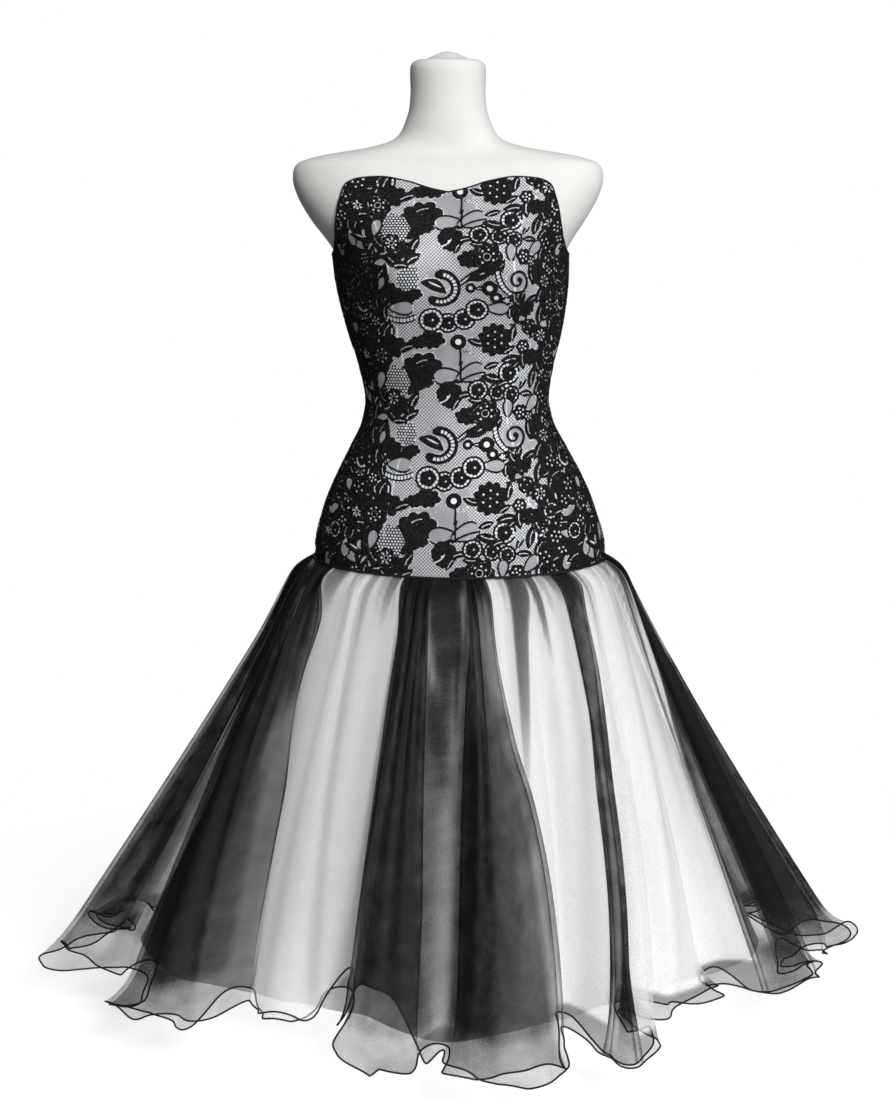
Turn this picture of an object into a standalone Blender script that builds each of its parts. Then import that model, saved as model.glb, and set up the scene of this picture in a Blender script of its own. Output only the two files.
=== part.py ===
# A strapless party dress on a limbless dress form: lace over satin panels down to a dropped waist,
# and a gathered skirt of black and white organza gores in two layers over a satin underskirt.
# Metres, +Z up, the front faces -Y, and the origin is the middle of the base plate's underside.
# Angles run round the figure from the front, positive towards +X.

import math

import bmesh
import bpy
import numpy as np

# Driving sizes of the cloth
SEAM_GAP = 0.0003
SATIN = 0.0015
LACE = 0.001
ORGANZA = 0.001
UNDERSKIRT = 0.001
FORM_CLEARANCE = 0.001
LACE_CLEARANCE = 0.0007
SHELL_OUT = FORM_CLEARANCE + SATIN / 2
LACE_OUT = FORM_CLEARANCE + SATIN + LACE_CLEARANCE + LACE / 2

# Driving sizes of the dropped waist and the skirt
WAIST_SEAM_HEIGHT = 0.584
WAIST_SEAM_DIP = 0.010
HEM_HEIGHT = 0.050
UNDERSKIRT_HEM_HEIGHT = 0.070
UNDERSKIRT_OUT = 0.0020
UNDERSKIRT_INSIDE_FOLDS = 0.030
SKIRT_TOP_DROP = 0.0009
OUTER_TOP_OUT = 0.0071
GATHER_DEPTH = 0.0018
GATHER_BEND = 0.0055
SEAM_RADIUS = 0.155
GATHER_FADE = 0.22
PUFF = 0.020
PUFF_SHARE = 0.025
FLARE_POWER = 1.12
LAYER_GAP_AT_TOP = 0.0015
LAYER_GAP_AT_HEM = 0.0060
RUFFLE_DEPTH = 0.011
RUFFLE_FLIP = 0.010
RUFFLE_RISE = 0.006
RUFFLE_FROM = 0.80
GATHER_SPACING = 0.078
COLUMNS_PER_GATHER = 2

# Driving sizes of the form's stand
POLE_RADIUS = 0.0125
BASE_RADIUS = 0.150
BASE_THICKNESS = 0.012
HUB_RADIUS = 0.024
HUB_HEIGHT = 0.035
FLANGE_RADIUS = 0.045
FLANGE_THICKNESS = 0.008
CAP_RADIUS = 0.034
CAP_HEIGHT = 0.0105

# Driving sizes of the back zip
ZIP_WIDTH = 0.0058
ZIP_THICKNESS = 0.0013
ZIP_SIDE_GAP = 0.0004
SLIDER_HEIGHT = 0.942
SLIDER_SIZE = (0.0086, 0.0022, 0.0120)
BRIDGE_HEIGHT = 0.0036
BRIDGE_REACH = 0.0034
BRIDGE_WIRE = 0.0007
PULL_BAR = 0.0014
PULL_WINDOW = 0.0040
PULL_ARM = 0.0013
PULL_LENGTH = 0.0260
PULL_PLATE_START = 0.0062
PULL_PLATE_WIDTH = 0.0072

# The figure's sections. lean shifts a section sideways, because the form stands a little out of true
# height, half_width, front, back, lean
FIGURE = np.array([
    (0.4550, 0.1400, 0.0900, 0.1000, 0.0150),
    (0.4600, 0.1650, 0.1090, 0.1190, 0.0150),
    (0.4720, 0.1780, 0.1180, 0.1290, 0.0150),
    (0.5000, 0.1830, 0.1210, 0.1330, 0.0150),
    (0.5400, 0.1862, 0.1230, 0.1370, 0.0152),
    (0.5970, 0.1868, 0.1220, 0.1370, 0.0155),
    (0.6520, 0.1731, 0.1140, 0.1300, 0.0145),
    (0.6890, 0.1578, 0.1060, 0.1200, 0.0143),
    (0.7260, 0.1385, 0.0970, 0.1060, 0.0135),
    (0.7630, 0.1207, 0.0900, 0.0920, 0.0124),
    (0.7900, 0.1160, 0.0880, 0.0850, 0.0118),
    (0.8360, 0.1234, 0.0920, 0.0880, 0.0104),
    (0.8720, 0.1336, 0.0990, 0.0940, 0.0090),
    (0.9080, 0.1417, 0.1070, 0.1010, 0.0071),
    (0.9440, 0.1473, 0.1120, 0.1060, 0.0050),
    (0.9800, 0.1500, 0.1100, 0.1090, 0.0030),
    (0.9980, 0.1600, 0.1060, 0.1100, 0.0015),
    (1.0150, 0.1724, 0.1020, 0.1100, 0.0005),
    (1.0330, 0.1838, 0.0960, 0.1090, 0.0000),
    (1.0510, 0.1932, 0.0890, 0.1060, 0.0000),
    (1.0710, 0.1988, 0.0790, 0.0990, 0.0000),
    (1.0810, 0.1987, 0.0730, 0.0940, 0.0000),
    (1.0920, 0.1928, 0.0670, 0.0870, 0.0000),
    (1.1000, 0.1710, 0.0580, 0.0680, 0.0000),
    (1.1070, 0.1330, 0.0520, 0.0580, 0.0000),
    (1.1120, 0.1020, 0.0500, 0.0550, 0.0000),
    (1.1220, 0.0700, 0.0490, 0.0530, 0.0000),
    (1.1320, 0.0600, 0.0485, 0.0520, 0.0000),
    (1.1420, 0.0556, 0.0485, 0.0530, 0.0000),
    (1.1620, 0.0494, 0.0475, 0.0500, 0.0000),
    (1.1850, 0.0478, 0.0470, 0.0490, 0.0000),
    (1.2050, 0.0485, 0.0470, 0.0490, 0.0000),
    (1.2140, 0.0478, 0.0460, 0.0480, 0.0000),
    (1.2190, 0.0445, 0.0430, 0.0450, 0.0000),
    (1.2215, 0.0395, 0.0380, 0.0400, 0.0000),
])
FORM_TOP = FIGURE[-1, 0]
SECTION_SQUARENESS = 0.06

# The bodice's cups
CUP = {"side": 0.078, "height": 0.968, "depth": 0.028, "half_width": 0.046, "half_height": 0.052}

# The sweetheart neckline: its height at each angle from the front, the same on both sides
# angle, height
NECKLINE = np.array([
    (0, 1.0545), (6, 1.0590), (14, 1.0680), (24, 1.0735), (32, 1.0720), (38, 1.0660), (43, 1.0470),
    (52, 1.0170), (62, 0.9970), (75, 0.9830), (90, 0.9750), (120, 0.9670), (150, 0.9590), (180, 0.9550),
])

# The bodice's panels, each between two seams
# name, from_angle, to_angle, cells
PANELS = (
    ("front", -30, 30, 8),
    ("side_front_left", -90, -30, 8),
    ("side_front_right", 30, 90, 8),
    ("back_left", -180, -90, 9),
    ("back_right", 90, 180, 9),
)
BODICE_ROWS = 13
BARE_ROWS = 4

# The openings without net in one repeat of the lace, counted in cells from the front panel's left edge
# and from the waist seam. turn is the opening's lean in degrees, and its sizes are shares of a cell
# cell, row, turn, half_length, half_width
OPENINGS = (
    (3, 1, 35, 0.40, 0.24),
    (4, 1, -35, 0.40, 0.24),
    (1, 3, 0, 0.38, 0.27),
    (5, 4, 60, 0.40, 0.26),
    (2, 5, -20, 0.40, 0.24),
)
REPEAT_CELLS = 6
REPEAT_ROWS = 6

# The skirt's flutes in order round the hem. Each has a round crest and the fold that follows it.
# The top angles are where the same cloth is gathered into the waist seam
# name, crest, crest_radius, half_width, crest_lift, crest_top, valley, valley_radius, valley_lift, valley_top
FLUTES = (
    ("back_centre", -172, 0.400, 0.045, 0.003, -174, -161, 0.335, 0.010, -166),
    ("back_left", -150, 0.408, 0.045, 0.003, -158, -139, 0.345, 0.012, -150),
    ("back_left_side", -128, 0.432, 0.048, 0.003, -142, -116, 0.375, 0.012, -133),
    ("left_rear", -104, 0.492, 0.043, 0.004, -123, -93, 0.440, 0.015, -111),
    ("left_side", -82, 0.521, 0.055, 0.018, -98, -66, 0.425, 0.015, -85),
    ("left_front", -53, 0.495, 0.055, 0.005, -70, -42, 0.370, 0.020, -55),
    ("left_white", -31, 0.394, 0.045, 0.018, -37, -20, 0.364, 0.060, -21),
    ("front_left", -9.5, 0.490, 0.052, 0.003, -13, -1, 0.440, 0.012, -3),
    ("front_right", 8.8, 0.500, 0.066, 0.003, 4, 20.5, 0.395, 0.020, 20),
    ("front_fold", 27.5, 0.492, 0.027, 0.005, 41, 34.5, 0.378, 0.025, 50),
    ("right_white", 45, 0.412, 0.050, 0.020, 60, 56, 0.390, 0.022, 69),
    ("right_front", 68, 0.505, 0.046, 0.015, 81, 80, 0.445, 0.015, 92),
    ("right_side", 91, 0.535, 0.045, 0.005, 103, 102, 0.420, 0.012, 113),
    ("right_rear", 114, 0.462, 0.048, 0.003, 124, 126, 0.370, 0.012, 134),
    ("back_right_side", 138, 0.420, 0.045, 0.003, 144, 149, 0.340, 0.010, 154),
    ("back_right", 161, 0.400, 0.044, 0.003, 165, 173, 0.330, 0.010, 175),
)

# Where gores meet: a flute's own valley, or its left or right flank
# colour, edge_flute, edge_place
OUTER_GORES = (
    ("black", "left_rear", "valley"),
    ("white", "left_front", "valley"),
    ("black", "left_white", "valley"),
    ("white", "front_right", "right_flank"),
    ("black", "front_fold", "left_flank"),
    ("white", "front_fold", "right_flank"),
    ("black", "right_front", "left_flank"),
    ("white", "right_side", "valley"),
    ("black", "right_rear", "valley"),
    ("white", "back_right_side", "valley"),
    ("black", "back_right", "valley"),
    ("white", "back_centre", "valley"),
    ("black", "back_left", "valley"),
    ("white", "back_left_side", "valley"),
)
# The inner layer also has a narrow white gore down the front, which shows as a paler stripe
INNER_GORES = OUTER_GORES[:3] + (
    ("white", "front_left", "right_flank"),
    ("black", "front_right", "left_flank"),
) + OUTER_GORES[3:]

SKIRT_ROWS = (0.0, 0.035, 0.12, 0.40, 0.80, 0.90)
OUTER_HEM = 1.0
INNER_HEM = 0.985
UNDERSKIRT_ROWS = (0.0, 0.07, 0.28, 0.62, 1.0)
# name, from_angle, to_angle, cells
UNDERSKIRT_PANELS = (
    ("underskirt_front", -80, 80, 22),
    ("underskirt_back_left", -180, -80, 13),
    ("underskirt_back_right", 80, 180, 13),
)


def through(at, knots, values):
    """A smooth curve through a table's points that never overshoots them."""
    gap = np.diff(knots)
    slope = np.diff(values) / gap
    same_way = slope[:-1] * slope[1:] > 0
    mean = np.where(same_way, 2 * slope[:-1] * slope[1:] / np.where(same_way, slope[:-1] + slope[1:], 1), 0)
    tangent = np.concatenate([slope[:1], mean, slope[-1:]])
    i = np.clip(np.searchsorted(knots, at) - 1, 0, len(knots) - 2)
    s = np.clip((at - knots[i]) / gap[i], 0, 1)
    return (
        (1 + 2 * s) * (1 - s) ** 2 * values[i]
        + s * (1 - s) ** 2 * gap[i] * tangent[i]
        + s * s * (3 - 2 * s) * values[i + 1]
        + s * s * (s - 1) * gap[i] * tangent[i + 1]
    )


def round_the_figure(angle):
    """The plan direction that an angle in degrees from the front points in."""
    turn = np.radians(angle)
    return np.stack([np.sin(turn), -np.cos(turn)], axis=-1)


def figure_surface(angle, height):
    """A point of the bare figure: an oval section, a little square, with the two cups at the front."""
    angle, height = np.broadcast_arrays(np.asarray(angle, float), np.asarray(height, float))
    level = FIGURE[:, 0]
    half_width, front, back, lean = (through(height, level, FIGURE[:, k]) for k in range(1, 5))
    sine, cosine = np.sin(np.radians(angle)), np.cos(np.radians(angle))
    x = half_width * sine * (1 + SECTION_SQUARENESS * cosine**2)
    y = -np.where(cosine > 0, front, back) * cosine * (1 + SECTION_SQUARENESS * sine**2)
    rise = np.exp(-(((height - CUP["height"]) / CUP["half_height"]) ** 2))
    for side in (-CUP["side"], CUP["side"]):
        across = np.exp(-(((x - side) / CUP["half_width"]) ** 2))
        y = y - CUP["depth"] * across * rise * np.clip(cosine, 0, 1)
    return np.stack([x + lean, y, height], axis=-1)


def unit(vectors):
    return vectors / np.linalg.norm(vectors, axis=-1, keepdims=True)


def moved_out(surface, a, b, step_a, step_b, out):
    """Points of a surface with two parameters, moved out along its normal."""
    along_a = surface(a + step_a, b) - surface(a - step_a, b)
    along_b = surface(a, b + step_b) - surface(a, b - step_b)
    return surface(a, b) + unit(np.cross(along_a, along_b)) * np.asarray(out)[..., None]


def figure_moved_out(angle, height, out):
    return moved_out(figure_surface, angle, height, 0.2, 0.001, out)


def waist_seam(angle):
    """The height of the dropped waist seam, which dips at the front."""
    return WAIST_SEAM_HEIGHT - WAIST_SEAM_DIP * np.clip(np.cos(np.radians(angle)), 0, 1) ** 2


def neckline(angle):
    return through(np.abs(angle), NECKLINE[:, 0], NECKLINE[:, 1])


def flute_points():
    """The hem's control points: plan place, height, share of the ruffle, and angle in the waist seam."""
    points, places = [], {}
    for k, flute in enumerate(FLUTES):
        name, crest, radius, half_width, crest_lift, crest_top = flute[:6]
        valley, valley_radius, valley_lift, valley_top = flute[6:]
        before = FLUTES[k - 1]
        top_before = before[9] - (360 if k == 0 else 0)
        outward = round_the_figure(crest)
        sideways = np.array([-outward[1], outward[0]])
        half_depth = min(half_width, (radius - (before[7] + valley_radius) / 2) / 2)
        middle = outward * (radius - half_depth)
        row = (
            ("left_flank", -90, 0.35, 0.10, before[8], top_before),
            ("left_shoulder", -48, 0.15, 0.80, crest_lift, top_before),
            ("crest", 0, 0.0, 1.0, crest_lift, crest_top),
            ("right_shoulder", 48, 0.15, 0.80, crest_lift, valley_top),
            ("right_flank", 90, 0.35, 0.10, valley_lift, valley_top),
        )
        for place, turn, share, ruffle, lift, beyond in row:
            bend = math.radians(turn)
            at = middle + half_width * math.sin(bend) * sideways + half_depth * math.cos(bend) * outward
            rise = crest_lift + 2 * share * share * (lift - crest_lift)
            places[name, place] = len(points)
            points.append((*at, HEM_HEIGHT + rise, ruffle, crest_top + share * (beyond - crest_top)))
        places[name, "valley"] = len(points)
        at = round_the_figure(valley) * valley_radius
        points.append((*at, HEM_HEIGHT + valley_lift, 0.0, valley_top))
    return np.array(points), places


def closed_curve(points, steps):
    """A smooth closed curve through points, with its length so far at each sample."""
    ring = np.concatenate([points[-1:], points, points[:2]])
    gap = np.linalg.norm(np.diff(ring[:, :3], axis=0), axis=1)[:, None]
    slope = np.diff(ring, axis=0) / gap
    tangent = (slope[1:] * gap[:-1] + slope[:-1] * gap[1:]) / (gap[1:] + gap[:-1])
    ends = (points, ring[2:-1], tangent[:-1], tangent[1:], gap[1:-1])
    start, end, first, last, gap = (values[:, None] for values in ends)
    s = (np.arange(steps) / steps)[None, :, None]
    line = (
        (1 + 2 * s) * (1 - s) ** 2 * start
        + s * (1 - s) ** 2 * gap * first
        + s * s * (3 - 2 * s) * end
        + s * s * (s - 1) * gap * last
    ).reshape(-1, points.shape[1])
    line = np.concatenate([line, line[:1]])
    length = np.concatenate([[0], np.cumsum(np.linalg.norm(np.diff(line[:, :3], axis=0), axis=1))])
    return line, length


def seam_angles(length):
    """The angle in the waist seam at each sample of the hem, rising all the way round."""
    knots = HEM_LENGTH[::CURVE_STEPS]
    angles = np.append(HEM_POINTS[:, 4], HEM_POINTS[0, 4] + 360)
    knots = np.concatenate([knots[:-1] - HEM_ROUND, knots, knots[1:] + HEM_ROUND])
    angles = np.concatenate([angles[:-1] - 360, angles, angles[1:] + 360])
    return through(length, knots, angles)


CURVE_STEPS = 24
HEM_POINTS, HEM_PLACES = flute_points()
HEM_LINE, HEM_LENGTH = closed_curve(HEM_POINTS[:, :4], CURVE_STEPS)
HEM_ROUND = HEM_LENGTH[-1]
HEM_TOP_ANGLE = seam_angles(HEM_LENGTH)


def edge_of(flute, place):
    """How far round the hem's cloth a named place is, in metres from the first flute's left flank."""
    return HEM_LENGTH[HEM_PLACES[flute, place] * CURVE_STEPS]


def gore_spans(gores):
    """(colour, start, end) along the hem for each gore. The last one runs past the hem's start."""
    starts = [edge_of(flute, place) for _, flute, place in gores]
    ends = starts[1:] + starts[:1]
    return [
        (gore[0], start, end if end > start else end + HEM_ROUND)
        for gore, start, end in zip(gores, starts, ends)
    ]


def gather_table():
    """The gathers between gore edges. Every layer has them, and the hem's ruffles, at the same places."""
    edges = sorted({start % HEM_ROUND for _, start, _ in gore_spans(INNER_GORES)})
    spans = np.diff(edges + [edges[0] + HEM_ROUND])
    return np.array(edges), np.maximum(1, np.round(spans / GATHER_SPACING)).astype(int)


GATHER_EDGES, GATHER_COUNTS = gather_table()


def gather_phase(along):
    """How many gathers lie before a place on the hem's cloth."""
    turns = np.floor((along - GATHER_EDGES[0]) / HEM_ROUND)
    place = along - turns * HEM_ROUND
    knots = np.append(GATHER_EDGES, GATHER_EDGES[0] + HEM_ROUND)
    counts = np.concatenate([[0], np.cumsum(GATHER_COUNTS)])
    return np.interp(place, knots, counts) + turns * counts[-1]


def flare(down):
    """The share of the way out to the hem: the skirt leaves the seam steeply and flares lower down."""
    return np.sign(down) * np.abs(down) ** FLARE_POWER


def gather_depths():
    """How deep the gathers are at each place where two meet: shallower where the seam holds them closer."""
    edges = np.append(GATHER_EDGES, GATHER_EDGES[0] + HEM_ROUND)
    places = np.concatenate([
        np.linspace(edges[k], edges[k + 1], count + 1)[:-1] for k, count in enumerate(GATHER_COUNTS)
    ])
    ring = np.append(places, places[0] + HEM_ROUND)
    angle = np.interp(ring % HEM_ROUND, HEM_LENGTH, HEM_TOP_ANGLE) + 360 * np.floor(ring / HEM_ROUND)
    width = np.diff(angle) * math.radians(1) * SEAM_RADIUS
    closest = np.minimum(width, np.roll(width, 1))
    return places, np.minimum(GATHER_DEPTH, (closest / (2 * math.pi)) ** 2 / GATHER_BEND)


GATHER_PLACES, GATHER_DEPTHS = gather_depths()


def plain_skirt(along, down):
    """The skirt's cloth without its hem ruffle: lines fanned from the gathered seam to the fluted hem."""
    along, down = np.broadcast_arrays(np.asarray(along, float), np.asarray(down, float))
    place = along % HEM_ROUND
    x, y, z = (np.interp(place, HEM_LENGTH, HEM_LINE[:, k]) for k in range(3))
    angle = np.interp(place, HEM_LENGTH, HEM_TOP_ANGLE)
    depth = np.interp(place, GATHER_PLACES, GATHER_DEPTHS, period=HEM_ROUND)
    gather = depth * np.cos(2 * np.pi * gather_phase(along)) * np.exp(-down / GATHER_FADE)
    top = figure_moved_out(angle, waist_seam(angle) - SKIRT_TOP_DROP, OUTER_TOP_OUT)
    top_turn = np.degrees(np.arctan2(top[..., 0], -top[..., 1]))
    swing = (np.degrees(np.arctan2(x, -y)) - top_turn + 180) % 360 - 180
    share = flare(down)
    radius = np.hypot(top[..., 0], top[..., 1]) * (1 - share) + np.hypot(x, y) * share
    radius = radius + PUFF * (1 - np.exp(-down / PUFF_SHARE)) * (1 - down) + gather
    plan = round_the_figure(top_turn + swing * share) * radius[..., None]
    height = top[..., 2] * (1 - down) + z * down
    return np.concatenate([plan, height[..., None]], axis=-1)


def ruffle_growth(down):
    return np.clip((down - RUFFLE_FROM) / (1 - RUFFLE_FROM), 0, 1.2) ** 2


def ruffled_skirt(along, down):
    """The outer layer: the plain skirt with its hem flipped out in waves, least in the folds."""
    along, down = np.broadcast_arrays(np.asarray(along, float), np.asarray(down, float))
    phase = 2 * np.pi * gather_phase(along)
    share = np.interp(along % HEM_ROUND, HEM_LENGTH, HEM_LINE[:, 3]) * ruffle_growth(down)
    out = share * (RUFFLE_FLIP + RUFFLE_DEPTH * np.cos(phase))
    points = moved_out(plain_skirt, along, down, 0.004, 0.004, -out)
    points[..., 2] += share * RUFFLE_RISE * np.cos(phase)
    return points


def skirt_columns():
    """The places of the walls' columns along the hem's cloth, over three turns."""
    edges = np.append(GATHER_EDGES, GATHER_EDGES[0] + HEM_ROUND)
    turn = np.concatenate([
        np.linspace(edges[k], edges[k + 1], COLUMNS_PER_GATHER * count + 1)[:-1]
        for k, count in enumerate(GATHER_COUNTS)
    ])
    return np.concatenate([turn - HEM_ROUND, turn, turn + HEM_ROUND])


def inward_normals(grid):
    """The normals of a grid of points, each midway between the facets round it."""
    across, down = unit(np.diff(grid, axis=1)), unit(np.diff(grid, axis=0))
    across = across[:, 1:] + across[:, :-1]
    down = np.concatenate([down[:1], down[1:] + down[:-1], down[-1:]])[:, 1:-1]
    return unit(np.cross(across, down))


def underskirt_surface(angle, down):
    """The satin underskirt: it hangs just inside the organza's folds."""
    angle, down = np.broadcast_arrays(np.asarray(angle, float), np.asarray(down, float))
    knots = np.array([flute[6] for flute in FLUTES], float)
    radii = np.array([flute[7] for flute in FLUTES]) - UNDERSKIRT_INSIDE_FOLDS
    knots = np.concatenate([knots - 360, knots, knots + 360])
    radius = through((angle + 180) % 360 - 180, knots, np.tile(radii, 3))
    top = figure_moved_out(angle, waist_seam(angle) - SEAM_GAP, UNDERSKIRT_OUT)
    top_turn = np.degrees(np.arctan2(top[..., 0], -top[..., 1]))
    swing = (angle - top_turn + 180) % 360 - 180
    share = flare(down)
    radius = np.hypot(top[..., 0], top[..., 1]) * (1 - share) + radius * share
    plan = round_the_figure(top_turn + swing * share) * radius[..., None]
    height = top[..., 2] * (1 - down) + UNDERSKIRT_HEM_HEIGHT * down
    return np.concatenate([plan, height[..., None]], axis=-1)


def make_material(name, colour, roughness, metallic=0.0, alpha=1.0):
    material = bpy.data.materials.new(name)
    material.use_nodes = True
    shader = material.node_tree.nodes["Principled BSDF"]
    shader.inputs["Base Color"].default_value = (*colour, 1)
    shader.inputs["Roughness"].default_value = roughness
    shader.inputs["Metallic"].default_value = metallic
    shader.inputs["Alpha"].default_value = alpha
    material.diffuse_color = (*colour, alpha)
    return material


def add_object(name, mesh, material, collection):
    part = bpy.data.objects.new(name, mesh)
    part.data.materials.append(material)
    collection.objects.link(part)
    return part


def smooth_by_angle(mesh, degrees):
    mesh.shade_smooth()
    mesh.set_sharp_from_angle(angle=math.radians(degrees))


def add_wall(name, inside, outside, faces, material, collection):
    """A closed wall from one surface's faces, with each point's inner and outer place."""
    count = len(inside)
    edges = {}
    for face in faces:
        for a, b in zip(face, face[1:] + face[:1]):
            edges[a, b] = True
    rim = [(a, b) for a, b in edges if (b, a) not in edges]
    shell = [tuple(i + count for i in face) for face in faces]
    lining = [(face[0], *reversed(face[1:])) for face in faces]
    sides = [(a + count, a, b, b + count) for a, b in rim]
    mesh = bpy.data.meshes.new(name)
    mesh.from_pydata(np.concatenate([inside, outside]).tolist(), [], shell + lining + sides)
    work = bmesh.new()
    work.from_mesh(mesh)
    bmesh.ops.triangulate(work, faces=work.faces, quad_method="FIXED")
    bmesh.ops.recalc_face_normals(work, faces=work.faces)
    work.to_mesh(mesh)
    work.free()
    smooth_by_angle(mesh, 40)
    return add_object(name, mesh, material, collection)


def grid_faces(rows, columns):
    """The quads of a grid of points, row by row."""
    return [
        (r * columns + c, r * columns + c + 1, (r + 1) * columns + c + 1, (r + 1) * columns + c)
        for r in range(rows - 1)
        for c in range(columns - 1)
    ]


def parted(points, gap):
    """The same rows of points with each row's two ends drawn in by half a gap, for the seams."""
    points = points.copy()
    first = unit(points[:, 1] - points[:, 0])
    last = unit(points[:, -1] - points[:, -2])
    points[:, 0] += first * gap / 2
    points[:, -1] -= last * gap / 2
    return points


def bodice_heights(angle):
    """Even rows from the waist seam up to the neckline, at the angles given."""
    share = np.linspace(0, 1, BODICE_ROWS + 1)[:, None]
    return waist_seam(angle) * (1 - share) + neckline(angle) * share


def bodice_grid(start, end, cells, out):
    angle = np.linspace(start, end, cells + 1)[None, :]
    height = bodice_heights(angle)
    return figure_moved_out(angle + 0 * height, height, out + 0 * height)


def add_shell_panel(name, start, end, cells, material, collection):
    inside = parted(bodice_grid(start, end, cells, SHELL_OUT - SATIN / 2), SEAM_GAP)
    outside = parted(bodice_grid(start, end, cells, SHELL_OUT + SATIN / 2), SEAM_GAP)
    faces = grid_faces(BODICE_ROWS + 1, cells + 1)
    add_wall("bodice_" + name, inside.reshape(-1, 3), outside.reshape(-1, 3), faces, material, collection)


def opening_outline(turn, half_length, half_width):
    """Eight points of a leaf-shaped opening, in shares of a cell, starting at its lower right."""
    lean = math.radians(turn)
    outline = []
    for k in range(8):
        bend = math.radians(-67.5 + 45 * k)
        reach_x, reach_y = half_width * math.cos(bend), half_length * math.sin(bend)
        swung_x = reach_x * math.cos(lean) - reach_y * math.sin(lean)
        swung_y = reach_x * math.sin(lean) + reach_y * math.cos(lean)
        outline.append((0.5 + swung_x, 0.5 + swung_y))
    return outline


def in_cell(corners, p, q):
    """A point of a cell that is two flat triangles, at shares p and q along it."""
    low_left, low_right, high_right, high_left = corners
    if p >= q:
        return low_left + p * (low_right - low_left) + q * (high_right - low_right)
    return low_left + q * (high_left - low_left) + p * (high_right - high_left)


def openings_of(start, cells):
    """{(row, cell): outline} for one lace panel."""
    found = {}
    first = round((start - PANELS[0][1]) / 360 * sum(panel[3] for panel in PANELS))
    for row in range(BODICE_ROWS):
        for cell in range(cells):
            for opening in OPENINGS:
                here = ((first + cell) % REPEAT_CELLS, row % REPEAT_ROWS)
                if here == opening[:2] and 0 < cell < cells - 1 and row < BODICE_ROWS - 1:
                    found[row, cell] = opening_outline(*opening[2:])
    return found


def add_lace_panel(name, start, end, cells, material, collection):
    """A lace wall: the satin's own points, moved out, with leaf-shaped openings cut through."""
    inside, outside = (
        parted(bodice_grid(start, end, cells, LACE_OUT + side * LACE / 2), SEAM_GAP) for side in (-1, 1)
    )
    zip_edge = {"back_left": 0, "back_right": -1}.get(name)
    if zip_edge is not None:
        for grid in (inside, outside):
            beside = 1 if zip_edge == 0 else -2
            away = unit(grid[:, beside] - grid[:, zip_edge])
            grid[:, zip_edge] += away * (ZIP_WIDTH / 2 + ZIP_SIDE_GAP)
    columns = cells + 1
    openings = openings_of(start, cells)
    inner_points, outer_points = list(inside.reshape(-1, 3)), list(outside.reshape(-1, 3))
    faces = []
    for face in grid_faces(BODICE_ROWS + 1, columns):
        row, cell = divmod(face[0], columns)
        if (row, cell) not in openings:
            faces.append(face)
            continue
        ring = list(range(len(inner_points), len(inner_points) + 8))
        for points, grid in ((inner_points, inside), (outer_points, outside)):
            corners = [grid.reshape(-1, 3)[i] for i in face]
            points.extend(in_cell(corners, p, q) for p, q in openings[row, cell])
        for side in range(4):
            near, following = face[side], face[(side + 1) % 4]
            first, second, third = (ring[(2 * side + k - 1) % 8] for k in range(3))
            faces.append((near, following, third, second))
            faces.append((near, second, first))
    add_wall("lace_" + name, np.array(inner_points), np.array(outer_points), faces, material, collection)


def add_gore(name, start, end, hem, inwards, material, collection):
    """One gore of an organza layer, between two places on the hem's cloth."""
    columns = skirt_columns()
    first, last = (int(np.argmin(abs(columns - place))) for place in (start, end))
    along = columns[None, first - 1:last + 2]
    down = np.array([*SKIRT_ROWS, hem])[:, None]
    grid = ruffled_skirt(along + 0 * down, down + 0 * along)
    normals = inward_normals(grid)
    sides = (inwards(down)[..., None] + side * ORGANZA / 2 for side in (1, -1))
    inside, outside = (parted(grid[:, 1:-1] + normals * side, SEAM_GAP).reshape(-1, 3) for side in sides)
    add_wall(name, inside, outside, grid_faces(len(down), last - first + 1), material, collection)


def layer_gap(down):
    return LAYER_GAP_AT_TOP + (LAYER_GAP_AT_HEM - LAYER_GAP_AT_TOP) * np.sqrt(np.clip(down, 0, 1))


def add_underskirt_panel(name, start, end, cells, material, collection):
    angle = np.linspace(start, end, cells + 1)[None, :]
    down = np.array(UNDERSKIRT_ROWS)[:, None]
    angle, down = angle + 0 * down, down + 0 * angle
    inside, outside = (
        parted(moved_out(underskirt_surface, angle, down, 0.5, 0.004, side * UNDERSKIRT / 2), SEAM_GAP)
        for side in (1, -1)
    )
    faces = grid_faces(len(UNDERSKIRT_ROWS), cells + 1)
    add_wall(name, inside.reshape(-1, 3), outside.reshape(-1, 3), faces, material, collection)


def torso_grid():
    """The torso's points in rows. Under the bodice they match the panels', so the cloth clears it evenly."""
    angles = [np.linspace(start, end, cells + 1)[:-1] for _, start, end, cells in PANELS]
    angle = np.sort(np.concatenate(angles))[None, :]
    level = FIGURE[:, 0]
    below = level[level < waist_seam(0)][:, None] + 0 * angle
    covered = bodice_heights(angle)
    above = level[level > np.max(covered)][:, None] + 0 * angle
    between = covered[-1:] + np.linspace(0, 1, BARE_ROWS + 2)[1:-1, None] * (above[:1] - covered[-1:])
    height = np.concatenate([below, covered, between, above])
    return figure_surface(angle + 0 * height, height)


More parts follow.
